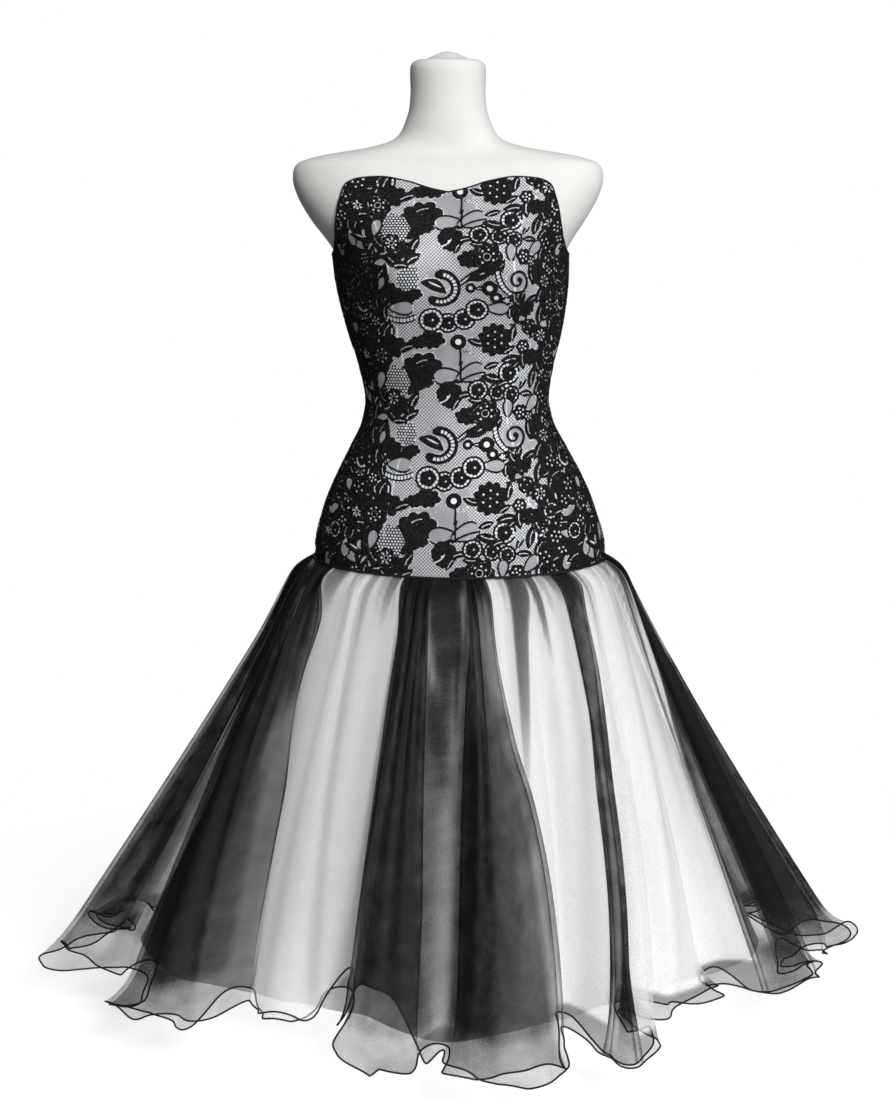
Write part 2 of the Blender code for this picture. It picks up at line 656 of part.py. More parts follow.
def add_form_body(material, collection):
    """The torso, lofted through its rows and closed flat above and below."""
    grid = torso_grid()
    rows, columns = grid.shape[:2]
    number = np.arange(rows * columns).reshape(rows, columns)
    after = np.roll(number, -1, axis=1)
    faces = np.stack([number[:-1], after[:-1], after[1:], number[1:]], axis=-1).reshape(-1, 4).tolist()
    ends = [number[0, ::-1].tolist(), number[-1].tolist()]
    mesh = bpy.data.meshes.new("form_torso")
    mesh.from_pydata(grid.reshape(-1, 3).tolist(), [], faces + ends)
    work = bmesh.new()
    work.from_mesh(mesh)
    bmesh.ops.triangulate(work, faces=work.faces, quad_method="FIXED")
    work.to_mesh(mesh)
    work.free()
    smooth_by_angle(mesh, 50)
    add_object("form_torso", mesh, material, collection)


def add_turned(name, profile, place, steps, material, collection):
    """A turned piece: (radius, height) points from the top down, spun by a Screw modifier."""
    work = bmesh.new()
    corners = [work.verts.new((radius, 0, height)) for radius, height in profile]
    for a, b in zip(corners, corners[1:]):
        work.edges.new((a, b))
    mesh = bpy.data.meshes.new(name)
    work.to_mesh(mesh)
    work.free()
    part = add_object(name, mesh, material, collection)
    part.location = place
    spin = part.modifiers.new("spin", "SCREW")
    spin.steps = spin.render_steps = steps
    spin.use_merge_vertices = True
    spin.merge_threshold = 0.00005
    return part


def add_stand(metal, plastic, collection):
    """The cap on the neck, and under the torso its flange, pole and weighted base plate."""
    under_torso, lean = FIGURE[0, 0] - SEAM_GAP, FIGURE[0, 4]
    bends = np.radians([0, 30, 60, 90])
    dome = list(zip(CAP_RADIUS * np.sin(bends), CAP_HEIGHT * np.cos(bends)))
    add_turned("form_neck_cap", dome + [(0, 0)], (0, 0, FORM_TOP + SEAM_GAP), 28, plastic, collection)
    edge = 0.0015
    flange = [
        (0, 0), (FLANGE_RADIUS - edge, 0), (FLANGE_RADIUS, -edge), (FLANGE_RADIUS, edge - FLANGE_THICKNESS),
        (FLANGE_RADIUS - edge, -FLANGE_THICKNESS), (0, -FLANGE_THICKNESS),
    ]
    add_turned("stand_flange", flange, (lean, 0, under_torso), 24, metal, collection)
    pole_top = under_torso - FLANGE_THICKNESS - SEAM_GAP
    hub_top = BASE_THICKNESS + HUB_HEIGHT
    pole_end = hub_top + SEAM_GAP - pole_top
    pole = [(0, 0), (POLE_RADIUS, 0), (POLE_RADIUS, pole_end), (0, pole_end)]
    add_turned("stand_pole", pole, (lean, 0, pole_top), 24, metal, collection)
    slope = 0.006
    base = [
        (0, hub_top), (HUB_RADIUS - edge, hub_top), (HUB_RADIUS, hub_top - edge),
        (HUB_RADIUS, BASE_THICKNESS), (BASE_RADIUS - slope, BASE_THICKNESS - edge),
        (BASE_RADIUS, BASE_THICKNESS / 2), (BASE_RADIUS, 0), (0, 0),
    ]
    add_turned("stand_base", base, (0, 0, 0), 36, metal, collection)


def add_zip(tape_material, metal, collection):
    """The closed back zip, its slider, and the pull that swings on the slider's bridge."""
    heights = bodice_heights(np.array([180.0]))[:, 0]
    lean = through(heights, FIGURE[:, 0], FIGURE[:, 4])[:, None]
    across = np.linspace(-ZIP_WIDTH / 2, ZIP_WIDTH / 2, 3)[None, :]
    base = FORM_CLEARANCE + SATIN + LACE_CLEARANCE
    walls = []
    for out in (base, base + ZIP_THICKNESS):
        wall = np.repeat(figure_moved_out(180 + 0 * heights, heights, out + 0 * heights)[:, None], 3, axis=1)
        wall[..., 0] = lean - across
        walls.append(wall.reshape(-1, 3))
    add_wall("back_zip", walls[0], walls[1], grid_faces(len(heights), 3), tape_material, collection)

    width, depth, length = SLIDER_SIZE
    slider_lean = float(through(np.array([SLIDER_HEIGHT]), FIGURE[:, 0], FIGURE[:, 4])[0])
    zip_face = figure_moved_out(180.0, SLIDER_HEIGHT + length / 2, base + ZIP_THICKNESS)[1]
    middle = zip_face + SEAM_GAP + depth / 2
    work = bmesh.new()
    bmesh.ops.create_cube(work, size=1)
    bmesh.ops.scale(work, vec=SLIDER_SIZE, verts=work.verts)
    through_edges = [e for e in work.edges if abs(e.verts[0].co.y - e.verts[1].co.y) > depth / 2]
    bmesh.ops.bevel(work, geom=through_edges, offset=0.002, segments=3, affect="EDGES", profile=0.5)
    mesh = bpy.data.meshes.new("zip_slider")
    work.to_mesh(mesh)
    work.free()
    slider = add_object("zip_slider", mesh, metal, collection)
    slider.location = (slider_lean, middle, SLIDER_HEIGHT)
    join = slider.modifiers.new("bridge", "BOOLEAN")
    join.operation = "UNION"
    join.object = add_bridge(slider_lean, middle + depth / 2)
    add_pull(slider_lean, middle + depth / 2 + (BRIDGE_REACH - BRIDGE_WIRE) / 2, metal, collection)


def add_bridge(lean, foot):
    """The slider's wire bridge as a mesh for the Boolean, bent from a bevelled curve."""
    wire = bpy.data.curves.new("bridge", "CURVE")
    wire.dimensions = "3D"
    wire.bevel_depth = BRIDGE_WIRE
    wire.bevel_resolution = 1
    wire.use_fill_caps = True
    line = wire.splines.new("POLY")
    turns = np.radians(np.linspace(-100, 100, 11))
    line.points.add(len(turns) - 1)
    for point, turn in zip(line.points, turns):
        reach, rise = BRIDGE_REACH * math.cos(turn), BRIDGE_HEIGHT * math.sin(turn)
        point.co = (lean, foot + reach, SLIDER_HEIGHT + rise, 1)
    helpers = bpy.data.collections.new("helpers")
    bpy.context.scene.collection.children.link(helpers)
    guide = bpy.data.objects.new("bridge_guide", wire)
    helpers.objects.link(guide)
    graph = bpy.context.evaluated_depsgraph_get()
    mesh = bpy.data.meshes.new_from_object(guide.evaluated_get(graph))
    bpy.data.objects.remove(guide)
    work = bmesh.new()
    work.from_mesh(mesh)
    bmesh.ops.remove_doubles(work, verts=work.verts, dist=0.00001)
    bmesh.ops.recalc_face_normals(work, faces=work.faces)
    work.to_mesh(mesh)
    work.free()
    arch = bpy.data.objects.new("bridge_cutter", mesh)
    arch.hide_render = True
    arch.display_type = "WIRE"
    helpers.objects.link(arch)
    return arch


def add_pull(lean, pivot_y, metal, collection):
    """The pull: a flat frame round the bridge's wire, a rounded plate below, and its origin on its bar."""
    half = PULL_WINDOW / 2
    outline = bpy.data.curves.new("zip_pull", "CURVE")
    outline.dimensions = "2D"
    outline.fill_mode = "BOTH"
    outline.extrude = PULL_BAR / 2
    frame, narrow = half + PULL_ARM, PULL_PLATE_WIDTH / 2
    low = narrow - PULL_LENGTH
    outer = [(frame, PULL_BAR / 2), (-frame, PULL_BAR / 2), (-frame, -PULL_PLATE_START), (-narrow, low)]
    for turn in np.radians(range(30, 180, 30)):
        outer.append((-narrow * math.cos(turn), low - narrow * math.sin(turn)))
    outer += [(narrow, low), (frame, -PULL_PLATE_START)]
    top, bottom = -PULL_BAR / 2, -PULL_PLATE_START
    window = [(-half, top), (half, top), (half, bottom), (-half, bottom)]
    for loop in (outer, window):
        line = outline.splines.new("POLY")
        line.points.add(len(loop) - 1)
        line.use_cyclic_u = True
        for point, (x, z) in zip(line.points, loop):
            point.co = (x, z, 0, 1)
    pull = bpy.data.objects.new("zip_pull", outline)
    outline.materials.append(metal)
    pull.rotation_euler = (math.radians(90), 0, 0)
    pull.location = (lean, pivot_y, SLIDER_HEIGHT)
    collection.objects.link(pull)


def main():
    for old in list(bpy.data.objects):
        bpy.data.objects.remove(old)
    collection = bpy.data.collections.new("strapless_dress_on_form")
    bpy.context.scene.collection.children.link(collection)
    satin = make_material("white_satin", (0.86, 0.87, 0.89), 0.35)
    lace = make_material("black_lace", (0.012, 0.012, 0.013), 0.75)
    organza = {
        "black": make_material("black_organza", (0.015, 0.015, 0.017), 0.5, alpha=0.75),
        "white": make_material("white_organza", (0.93, 0.93, 0.95), 0.45, alpha=0.35),
    }
    plaster = make_material("form_plaster", (0.80, 0.79, 0.77), 0.7)
    metal = make_material("steel", (0.55, 0.55, 0.56), 0.35, metallic=1.0)
    tape = make_material("black_zip", (0.02, 0.02, 0.02), 0.6)

    add_form_body(plaster, collection)
    add_stand(metal, plaster, collection)
    for panel in PANELS:
        add_shell_panel(*panel, satin, collection)
        add_lace_panel(*panel, lace, collection)
    add_zip(tape, metal, collection)
    for number, (colour, start, end) in enumerate(gore_spans(OUTER_GORES), 1):
        name = f"outer_gore_{number:02d}_{colour}"
        add_gore(name, start, end, OUTER_HEM, np.zeros_like, organza[colour], collection)
    for number, (colour, start, end) in enumerate(gore_spans(INNER_GORES), 1):
        name = f"inner_gore_{number:02d}_{colour}"
        add_gore(name, start, end, INNER_HEM, layer_gap, organza[colour], collection)
    for panel in UNDERSKIRT_PANELS:
        add_underskirt_panel(*panel, satin, collection)


main()
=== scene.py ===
import math

import bmesh
import bpy
import numpy as np
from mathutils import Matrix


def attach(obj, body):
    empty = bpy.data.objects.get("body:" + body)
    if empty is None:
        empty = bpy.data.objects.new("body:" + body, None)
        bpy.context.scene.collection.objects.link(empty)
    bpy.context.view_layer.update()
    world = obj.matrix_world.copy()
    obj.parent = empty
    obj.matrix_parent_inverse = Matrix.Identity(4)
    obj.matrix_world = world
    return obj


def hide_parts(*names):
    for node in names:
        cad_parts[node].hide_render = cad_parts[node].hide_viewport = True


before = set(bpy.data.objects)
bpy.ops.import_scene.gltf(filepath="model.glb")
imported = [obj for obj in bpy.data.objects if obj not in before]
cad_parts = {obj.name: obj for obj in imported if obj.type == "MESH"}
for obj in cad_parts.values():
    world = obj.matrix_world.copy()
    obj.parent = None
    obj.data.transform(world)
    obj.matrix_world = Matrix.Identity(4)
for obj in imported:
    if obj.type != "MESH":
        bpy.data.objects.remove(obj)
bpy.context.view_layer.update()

rng = np.random.default_rng(17)
print("the packed frame is in")

# The camera stands at the photograph's viewing angle, 3 m in front and looking a little down
camera = {"lens": 74.2, "sensor": 36.0, "place": (0.0, -3.0, 1.046), "down": 8.87}


def placeCamera():
    # the lens and sensor as given, and the view tipped down from level by the angle
    lens = bpy.data.cameras.new("camera")
    lens.lens, lens.sensor_width = camera["lens"], camera["sensor"]
    eye = bpy.data.objects.new("camera", lens)
    eye.location = camera["place"]
    eye.rotation_euler = (math.radians(90 - camera["down"]), 0, 0)
    bpy.context.scene.collection.objects.link(eye)
    bpy.context.scene.camera = eye


placeCamera()

# The figure's sections, as in the solids: height, half width, front, back, sideways lean
figureRows = np.array([
    (0.4550, 0.1400, 0.0900, 0.1000, 0.0150), (0.4600, 0.1650, 0.1090, 0.1190, 0.0150),
    (0.4720, 0.1780, 0.1180, 0.1290, 0.0150), (0.5000, 0.1830, 0.1210, 0.1330, 0.0150),
    (0.5400, 0.1862, 0.1230, 0.1370, 0.0152), (0.5970, 0.1868, 0.1220, 0.1370, 0.0155),
    (0.6520, 0.1731, 0.1140, 0.1300, 0.0145), (0.6890, 0.1578, 0.1060, 0.1200, 0.0143),
    (0.7260, 0.1385, 0.0970, 0.1060, 0.0135), (0.7630, 0.1207, 0.0900, 0.0920, 0.0124),
    (0.7900, 0.1160, 0.0880, 0.0850, 0.0118), (0.8360, 0.1234, 0.0920, 0.0880, 0.0104),
    (0.8720, 0.1336, 0.0990, 0.0940, 0.0090), (0.9080, 0.1417, 0.1070, 0.1010, 0.0071),
    (0.9440, 0.1473, 0.1120, 0.1060, 0.0050), (0.9800, 0.1500, 0.1100, 0.1090, 0.0030),
    (0.9980, 0.1600, 0.1060, 0.1100, 0.0015), (1.0150, 0.1724, 0.1020, 0.1100, 0.0005),
    (1.0330, 0.1838, 0.0960, 0.1090, 0.0000), (1.0510, 0.1932, 0.0890, 0.1060, 0.0000),
    (1.0710, 0.1988, 0.0790, 0.0990, 0.0000), (1.0810, 0.1987, 0.0730, 0.0940, 0.0000),
    (1.0920, 0.1928, 0.0670, 0.0870, 0.0000), (1.1000, 0.1710, 0.0580, 0.0680, 0.0000),
    (1.1070, 0.1330, 0.0520, 0.0580, 0.0000), (1.1120, 0.1020, 0.0500, 0.0550, 0.0000),
    (1.1220, 0.0700, 0.0490, 0.0530, 0.0000), (1.1320, 0.0600, 0.0485, 0.0520, 0.0000),
    (1.1420, 0.0556, 0.0485, 0.0530, 0.0000), (1.1620, 0.0494, 0.0475, 0.0500, 0.0000),
    (1.1850, 0.0478, 0.0470, 0.0490, 0.0000), (1.2050, 0.0485, 0.0470, 0.0490, 0.0000),
    (1.2140, 0.0478, 0.0460, 0.0480, 0.0000), (1.2190, 0.0445, 0.0430, 0.0450, 0.0000),
    (1.2215, 0.0395, 0.0380, 0.0400, 0.0000),
])
figure = {"square": 0.06, "angleStep": 0.2, "heightStep": 0.001}
cup = {"side": 0.078, "height": 0.968, "depth": 0.028, "halfWidth": 0.046, "halfHeight": 0.052}
# The neckline: angle from the front, height
necklineRows = np.array([
    (0, 1.0545), (6, 1.0590), (14, 1.0680), (24, 1.0735), (32, 1.0720), (38, 1.0660), (43, 1.0470),
    (52, 1.0170), (62, 0.9970), (75, 0.9830), (90, 0.9750), (120, 0.9670), (150, 0.9590), (180, 0.9550),
])
bodice = {
    "clearance": 0.001, "satin": 0.0015, "laceClearance": 0.0007, "seamHeight": 0.584, "seamDip": 0.010,
    "columns": 60, "rows": 96, "mapRadius": 0.15,
}
panels = (("front", -30, 30), ("side_front_left", -90, -30), ("side_front_right", 30, 90),
          ("back_left", -180, -90), ("back_right", 90, 180))


def cubic(s, gap, start, end, first, last):
    # a smooth step between two values, each with its slope, for a share s of the gap between them
    return ((1 + 2 * s) * (1 - s) ** 2 * start + s * (1 - s) ** 2 * gap * first
            + s * s * (3 - 2 * s) * end + s * s * (s - 1) * gap * last)


def through(at, knots, values):
    # a smooth curve through a table: cubic pieces whose slopes are the harmonic mean of the two sides'
    gap = np.diff(knots)
    slope = np.diff(values) / gap
    sameWay = slope[:-1] * slope[1:] > 0
    mean = np.where(sameWay, 2 * slope[:-1] * slope[1:] / np.where(sameWay, slope[:-1] + slope[1:], 1), 0)
    tangent = np.concatenate([slope[:1], mean, slope[-1:]])
    i = np.clip(np.searchsorted(knots, at) - 1, 0, len(knots) - 2)
    s = np.clip((at - knots[i]) / gap[i], 0, 1)
    return cubic(s, gap[i], values[i], values[i + 1], tangent[i], tangent[i + 1])


def smooth(value, low, high):
    # 0 below low, 1 above high, and s s (3 - 2 s) between
    s = np.clip((value - low) / (high - low), 0, 1)
    return s * s * (3 - 2 * s)


def roundTheFigure(angle):
    # the plan direction (sin a, -cos a) of an angle from the front
    turn = np.radians(angle)
    return np.stack([np.sin(turn), -np.cos(turn)], axis=-1)


def unit(vectors):
    # each vector divided by its own length
    return vectors / np.maximum(np.linalg.norm(vectors, axis=-1, keepdims=True), 1e-12)


def figureSurface(angle, height):
    # an oval section, x = half width times sin a and y = depth times cos a, a little square,
    # with two bell-shaped cups added at the front
    angle, height = np.broadcast_arrays(np.asarray(angle, float), np.asarray(height, float))
    halfWidth, front, back, lean = (through(height, figureRows[:, 0], figureRows[:, k]) for k in range(1, 5))
    sine, cosine = np.sin(np.radians(angle)), np.cos(np.radians(angle))
    x = halfWidth * sine * (1 + figure["square"] * cosine**2)
    y = -np.where(cosine > 0, front, back) * cosine * (1 + figure["square"] * sine**2)
    rise = np.exp(-(((height - cup["height"]) / cup["halfHeight"]) ** 2))
    for side in (-cup["side"], cup["side"]):
        across = np.exp(-(((x - side) / cup["halfWidth"]) ** 2))
        y = y - cup["depth"] * across * rise * np.clip(cosine, 0, 1)
    return np.stack([x + lean, y, height], axis=-1)


def figureMovedOut(angle, height, out):
    # points of the figure's surface plus out times its normal, which is the cross of its two slopes
    a, h = figure["angleStep"], figure["heightStep"]
    across = figureSurface(angle + a, height) - figureSurface(angle - a, height)
    upward = figureSurface(angle, height + h) - figureSurface(angle, height - h)
    return figureSurface(angle, height) + unit(np.cross(across, upward)) * np.asarray(out)[..., None]


def waistSeam(angle):
    # the seam's height, less a dip times the squared cosine of the angle in the front half
    return bodice["seamHeight"] - bodice["seamDip"] * np.clip(np.cos(np.radians(angle)), 0, 1) ** 2


def neckline(angle):
    # the height read from the neckline's rows, the same at both sides of the front
    return through(np.abs(angle), necklineRows[:, 0], necklineRows[:, 1])


def gridFaces(rows, columns, flip=False, closed=False):
    # quads of a grid of points; closed joins the last column to the first
    number = np.arange(rows * columns).reshape(rows, columns)
    after = np.roll(number, -1, axis=1)
    if not closed:
        number, after = number[:, :-1], after[:, :-1]
    quads = np.stack([number[:-1], after[:-1], after[1:], number[1:]], axis=-1).reshape(-1, 4)
    return quads[:, ::-1] if flip else quads


def addMesh(name, points, faces, material, values=None, uv=None, smooth=True):
    # one piece from arrays of points and equal-sided faces, with its point values and UV map
    mesh = bpy.data.meshes.new(name)
    points, faces = np.asarray(points, np.float32).reshape(-1, 3), np.asarray(faces, np.int32)
    sides = faces.shape[1]
    mesh.vertices.add(len(points))
    mesh.vertices.foreach_set("co", points.ravel())
    mesh.loops.add(faces.size)
    mesh.loops.foreach_set("vertex_index", faces.ravel())
    mesh.polygons.add(len(faces))
    mesh.polygons.foreach_set("loop_start", np.arange(0, faces.size, sides, dtype=np.int32))
    mesh.polygons.foreach_set("loop_total", np.full(len(faces), sides, np.int32))
    mesh.polygons.foreach_set("use_smooth", np.full(len(faces), smooth))
    mesh.update(calc_edges=True)
    mesh.validate()
    for key, value in (values or {}).items():
        layer = mesh.attributes.new(key, "FLOAT", "POINT")
        layer.data.foreach_set("value", np.asarray(value, np.float32).ravel())
    if uv is not None:
        flat = np.asarray(uv, np.float32).reshape(-1, 2)[faces.ravel()]
        mesh.uv_layers.new(name="cloth").data.foreach_set("uv", flat.ravel())
    mesh.materials.append(material)
    piece = bpy.data.objects.new(name, mesh)
    bpy.context.scene.collection.objects.link(piece)
    return piece


def addTube(name, line, radius, material, sides=6, closed=False):
    # a round section swept along a line: point = line + radius (cos t side + sin t up)
    ahead = unit(np.roll(line, -1, axis=0) - np.roll(line, 1, axis=0))
    if not closed:
        ahead[0], ahead[-1] = unit(line[1] - line[0]), unit(line[-1] - line[-2])
    side = unit(np.cross(ahead, np.array([0.03, 0.02, 1.0])))
    up = np.cross(side, ahead)
    turn = np.linspace(0, 2 * np.pi, sides, endpoint=False)[None, :, None]
    ring = line[:, None] + radius * (np.cos(turn) * side[:, None] + np.sin(turn) * up[:, None])
    number = np.arange(len(line) * sides).reshape(-1, sides)
    beside, after = np.roll(number, -1, axis=1), np.roll(number, -1, axis=0)
    faces = np.stack([number, after, np.roll(beside, -1, axis=0), beside], axis=-1)
    faces = faces if closed else faces[:-1]
    return addMesh(name, ring, faces.reshape(-1, 4)[:, ::-1], material)


def joinPoles(piece):
    # the rings of points at a pole become one point
    work = bmesh.new()
    work.from_mesh(piece.data)
    bmesh.ops.remove_doubles(work, verts=work.verts, dist=0.000001)
    work.to_mesh(piece.data)
    work.free()


def finishPiece(piece, nodes=()):
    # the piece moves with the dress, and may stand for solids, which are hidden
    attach(piece, "dress")
    if nodes:
        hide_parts(*nodes)


leastArea = 0.31  # the smallest area that a cut may state, as a share of its width by its length


def gridCut(grid):
    # the flat cut of a grid of cloth: its greatest width and length, and its area
    across, down = np.diff(grid, axis=1), np.diff(grid, axis=0)
    wide = np.linalg.norm(across, axis=-1).sum(axis=1).max()
    long = np.linalg.norm(down, axis=-1).sum(axis=0).max()
    area = float(np.linalg.norm(np.cross(across[:-1], down[:, :-1]), axis=-1).sum())
    return (float(wide), float(long)), float(np.clip(area, leastArea * wide * long, wide * long))


def addSheet(name, grid, material, node, slot, flip=False, **maps):
    # one cloth from a grid of points: the piece, its flat cut and its area
    piece = addMesh(name, grid, gridFaces(*grid.shape[:2], flip=flip), material, **maps)
    finishPiece(piece, [node])
    return piece, *gridCut(grid)


def coverNodes(material, *nodes):
    # the named solids take this material as their only one
    for node in nodes:
        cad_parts[node].data.materials.clear()
        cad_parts[node].data.materials.append(material)


# Materials: shared effects are node groups, and each finish keeps its own shader

def addNode(tree, kind, values=None, **settings):
    # a socket among the values is linked to its input, and any other value is set there
    node = tree.nodes.new(kind)
    for key, value in settings.items():
        setattr(node, key, value)
    for key, value in (values or {}).items():
        if isinstance(value, bpy.types.NodeSocket):
            tree.links.new(value, node.inputs[key])
        else:
            node.inputs[key].default_value = value
    return node


def maths(tree, operation, *values):
    # one operation on the values, in their order
    return addNode(tree, "ShaderNodeMath", dict(enumerate(values)), operation=operation).outputs[0]


def ranged(tree, value, given, made, **settings):
    # the two ends of the range given become the two ends made
    ends = dict(zip(("Value", "From Min", "From Max", "To Min", "To Max"), (value, *given, *made)))
    return addNode(tree, "ShaderNodeMapRange", ends, **settings).outputs["Result"]


def newGroup(name, inputs, outputs):
    # a group whose inputs are a place, with no value of its own, and numbers
    tree = bpy.data.node_groups.new(name, "ShaderNodeTree")
    for label, value in inputs.items():
        kind = "NodeSocketVector" if value is None else "NodeSocketFloat"
        socket = tree.interface.new_socket(name=label, in_out="INPUT", socket_type=kind)
        if value is not None:
            socket.default_value = value
    for label in outputs:
        tree.interface.new_socket(name=label, in_out="OUTPUT", socket_type="NodeSocketFloat")
    return tree, addNode(tree, "NodeGroupInput").outputs, addNode(tree, "NodeGroupOutput").inputs


def grainGroup():
    # crossed threads, the higher of sin(2 pi u / pitch) and sin(2 pi v / pitch), and fine noise
    sockets = {"Flat": None, "Pitch": 0.0008, "Speck": 900.0}
    tree, given, made = newGroup("clothGrain", sockets, ("Thread", "Grain"))
    split = addNode(tree, "ShaderNodeSeparateXYZ", {0: given["Flat"]})
    ratios = [maths(tree, "DIVIDE", split.outputs[axis], given["Pitch"]) for axis in (0, 1)]
    waves = [maths(tree, "SINE", maths(tree, "MULTIPLY", ratio, 2 * math.pi)) for ratio in ratios]
    speck = addNode(tree, "ShaderNodeTexNoise", {
        "Vector": given["Flat"], "Scale": given["Speck"], "Detail": 3.0, "Roughness": 0.7})
    tree.links.new(maths(tree, "MAXIMUM", *waves), made["Thread"])
    tree.links.new(speck.outputs["Fac"], made["Grain"])
    return tree


def mottleGroup():
    # cloudy noise, stretched to the range Low to High
    sockets = {"Place": None, "Scale": 20.0, "Low": 0.9, "High": 1.0}
    tree, given, made = newGroup("mottle", sockets, ("Value",))
    cloud = addNode(tree, "ShaderNodeTexNoise", {
        "Vector": given["Place"], "Scale": given["Scale"], "Detail": 4.0, "Roughness": 0.6})
    value = ranged(tree, cloud.outputs["Fac"], (0.3, 0.7), (given["Low"], given["High"]))
    tree.links.new(value, made["Value"])
    return tree


groups = {"grain": grainGroup(), "mottle": mottleGroup()}


def grained(tree, flat, pitch, speck):
    # the grain group at a flat place, for a pitch of threads and a scale of specks
    values = {"Flat": flat, "Pitch": pitch, "Speck": speck}
    return addNode(tree, "ShaderNodeGroup", values, node_tree=groups["grain"]).outputs


def mottled(tree, place, scale, low, high):
    # an uneven amount from low to high over the place, at a scale
    values = {"Place": place, "Scale": scale, "Low": low, "High": high}
    return addNode(tree, "ShaderNodeGroup", values, node_tree=groups["mottle"]).outputs["Value"]


def newMaterial(name, plain, coordinates):
    # a material with plain values, its shader's inputs, and the coordinates that it reads
    material = bpy.data.materials.new(name)
    material.use_nodes = True
    tree = material.node_tree
    shader = tree.nodes["Principled BSDF"].inputs
    for socket, value in plain.items():
        shader[socket].default_value = value
    return material, tree, shader, addNode(tree, "ShaderNodeTexCoord").outputs[coordinates]


def mixed(tree, shader, values, **settings):
    # Base Color = a mix; the values are its amount and its two colours
    mix = addNode(tree, "ShaderNodeMix", dict(zip((0, 6, 7), values)), data_type="RGBA", **settings)
    tree.links.new(mix.outputs[2], shader["Base Color"])


def tinted(tree, shader, colour, amount):
    # Base Color = colour times a grey amount that changes over the surface
    mixed(tree, shader, (1.0, (*colour, 1), amount), blend_type="MULTIPLY")


def addBump(tree, shader, height, distance, strength):
    # Normal = tipped by the slope of the height, which is the distance times its value
    bump = addNode(tree, "ShaderNodeBump", {"Strength": strength, "Distance": distance, "Height": height})
    tree.links.new(bump.outputs["Normal"], shader["Normal"])


def satinMaterial(name, colour, roughness, low):
    # a soft sheen over a mottled colour, with the grain of the threads as a bump
    values = {"Roughness": roughness, "Sheen Weight": 0.25, "Sheen Roughness": 0.4,
              "Specular IOR Level": 0.35}
    material, tree, shader, flat = newMaterial(name, values, "UV")
    tinted(tree, shader, colour, mottled(tree, flat, 14.0, low, 1.0))
    addBump(tree, shader, grained(tree, flat, 0.0009, 1400.0)["Thread"], 0.00006, 0.35)
    return material


def laceMaterial(name, colour):
    # near black with paler cords, where the distance to a cell's edge is small: the paler cords are a painted
    # glint
    values = {"Roughness": 0.75, "Specular IOR Level": 0.12}
    material, tree, shader, place = newMaterial(name, values, "Object")
    cells = addNode(tree, "ShaderNodeTexVoronoi", {"Vector": place, "Scale": 300.0},
                    feature="DISTANCE_TO_EDGE")
    cordGlint = ranged(tree, cells.outputs["Distance"], (0.04, 0.13), (4.2, 0.7), interpolation_type="SMOOTHSTEP")
    tinted(tree, shader, colour, maths(tree, "MULTIPLY", cordGlint, mottled(tree, place, 260.0, 0.35, 1.6)))
    thread = addNode(tree, "ShaderNodeTexWave", {
        "Vector": place, "Scale": 420.0, "Distortion": 3.0, "Detail": 2.0}, bands_direction="DIAGONAL")
    addBump(tree, shader, thread.outputs["Fac"], 0.0003, 0.6)
    return material


def organzaMaterial(name, colour, cover, spread, sheen):
    # a see-through weave: Alpha = cover, times the cloth's own folds, with threads and specks. The folds'
    # value holds the plies, with painted shade along the creases and a painted sheen where some partings thin
    # the black cloth. The cloth's darkening value dyes it black for the hem border and for folds of black
    # cloth, and is painted shade in the pale cloth's creases
    values = {"Roughness": 0.6, "Sheen Weight": sheen, "Sheen Roughness": 0.35, "Specular IOR Level": 0.16}
    material, tree, shader, flat = newMaterial(name, values, "UV")
    grain = grained(tree, flat, 0.0011, 620.0)
    fold, dyeAndShade = (addNode(tree, "ShaderNodeAttribute", attribute_name=key).outputs["Fac"]
                  for key in ("fold", "dyeAndShade"))
    amount = cover
    for source in (mottled(tree, flat, 30.0, 1 - spread, 1 + spread),
                   ranged(tree, grain["Grain"], (0.3, 0.7), (0.80, 1.20)),
                   ranged(tree, grain["Thread"], (-1.0, 1.0), (0.93, 1.07)), fold):
        amount = maths(tree, "MULTIPLY", amount, source)
    limit = addNode(tree, "ShaderNodeClamp", {"Value": amount, "Min": 0.02, "Max": 0.98})
    tree.links.new(limit.outputs["Result"], shader["Alpha"])
    mixed(tree, shader, (dyeAndShade, (*colour, 1), (0.012, 0.012, 0.013, 1)))
    return material


def plainFinish(name, colour, values, scale, low, bump):
    # a solid finish with cloudy colour and a fine uneven surface
    material, tree, shader, place = newMaterial(name, values, "Object")
    tinted(tree, shader, colour, mottled(tree, place, scale, low, 1.0))
    fine = addNode(tree, "ShaderNodeTexNoise", {"Vector": place, "Scale": scale * 14, "Detail": 5.0})
    addBump(tree, shader, fine.outputs["Fac"], bump, 0.5)
    return material


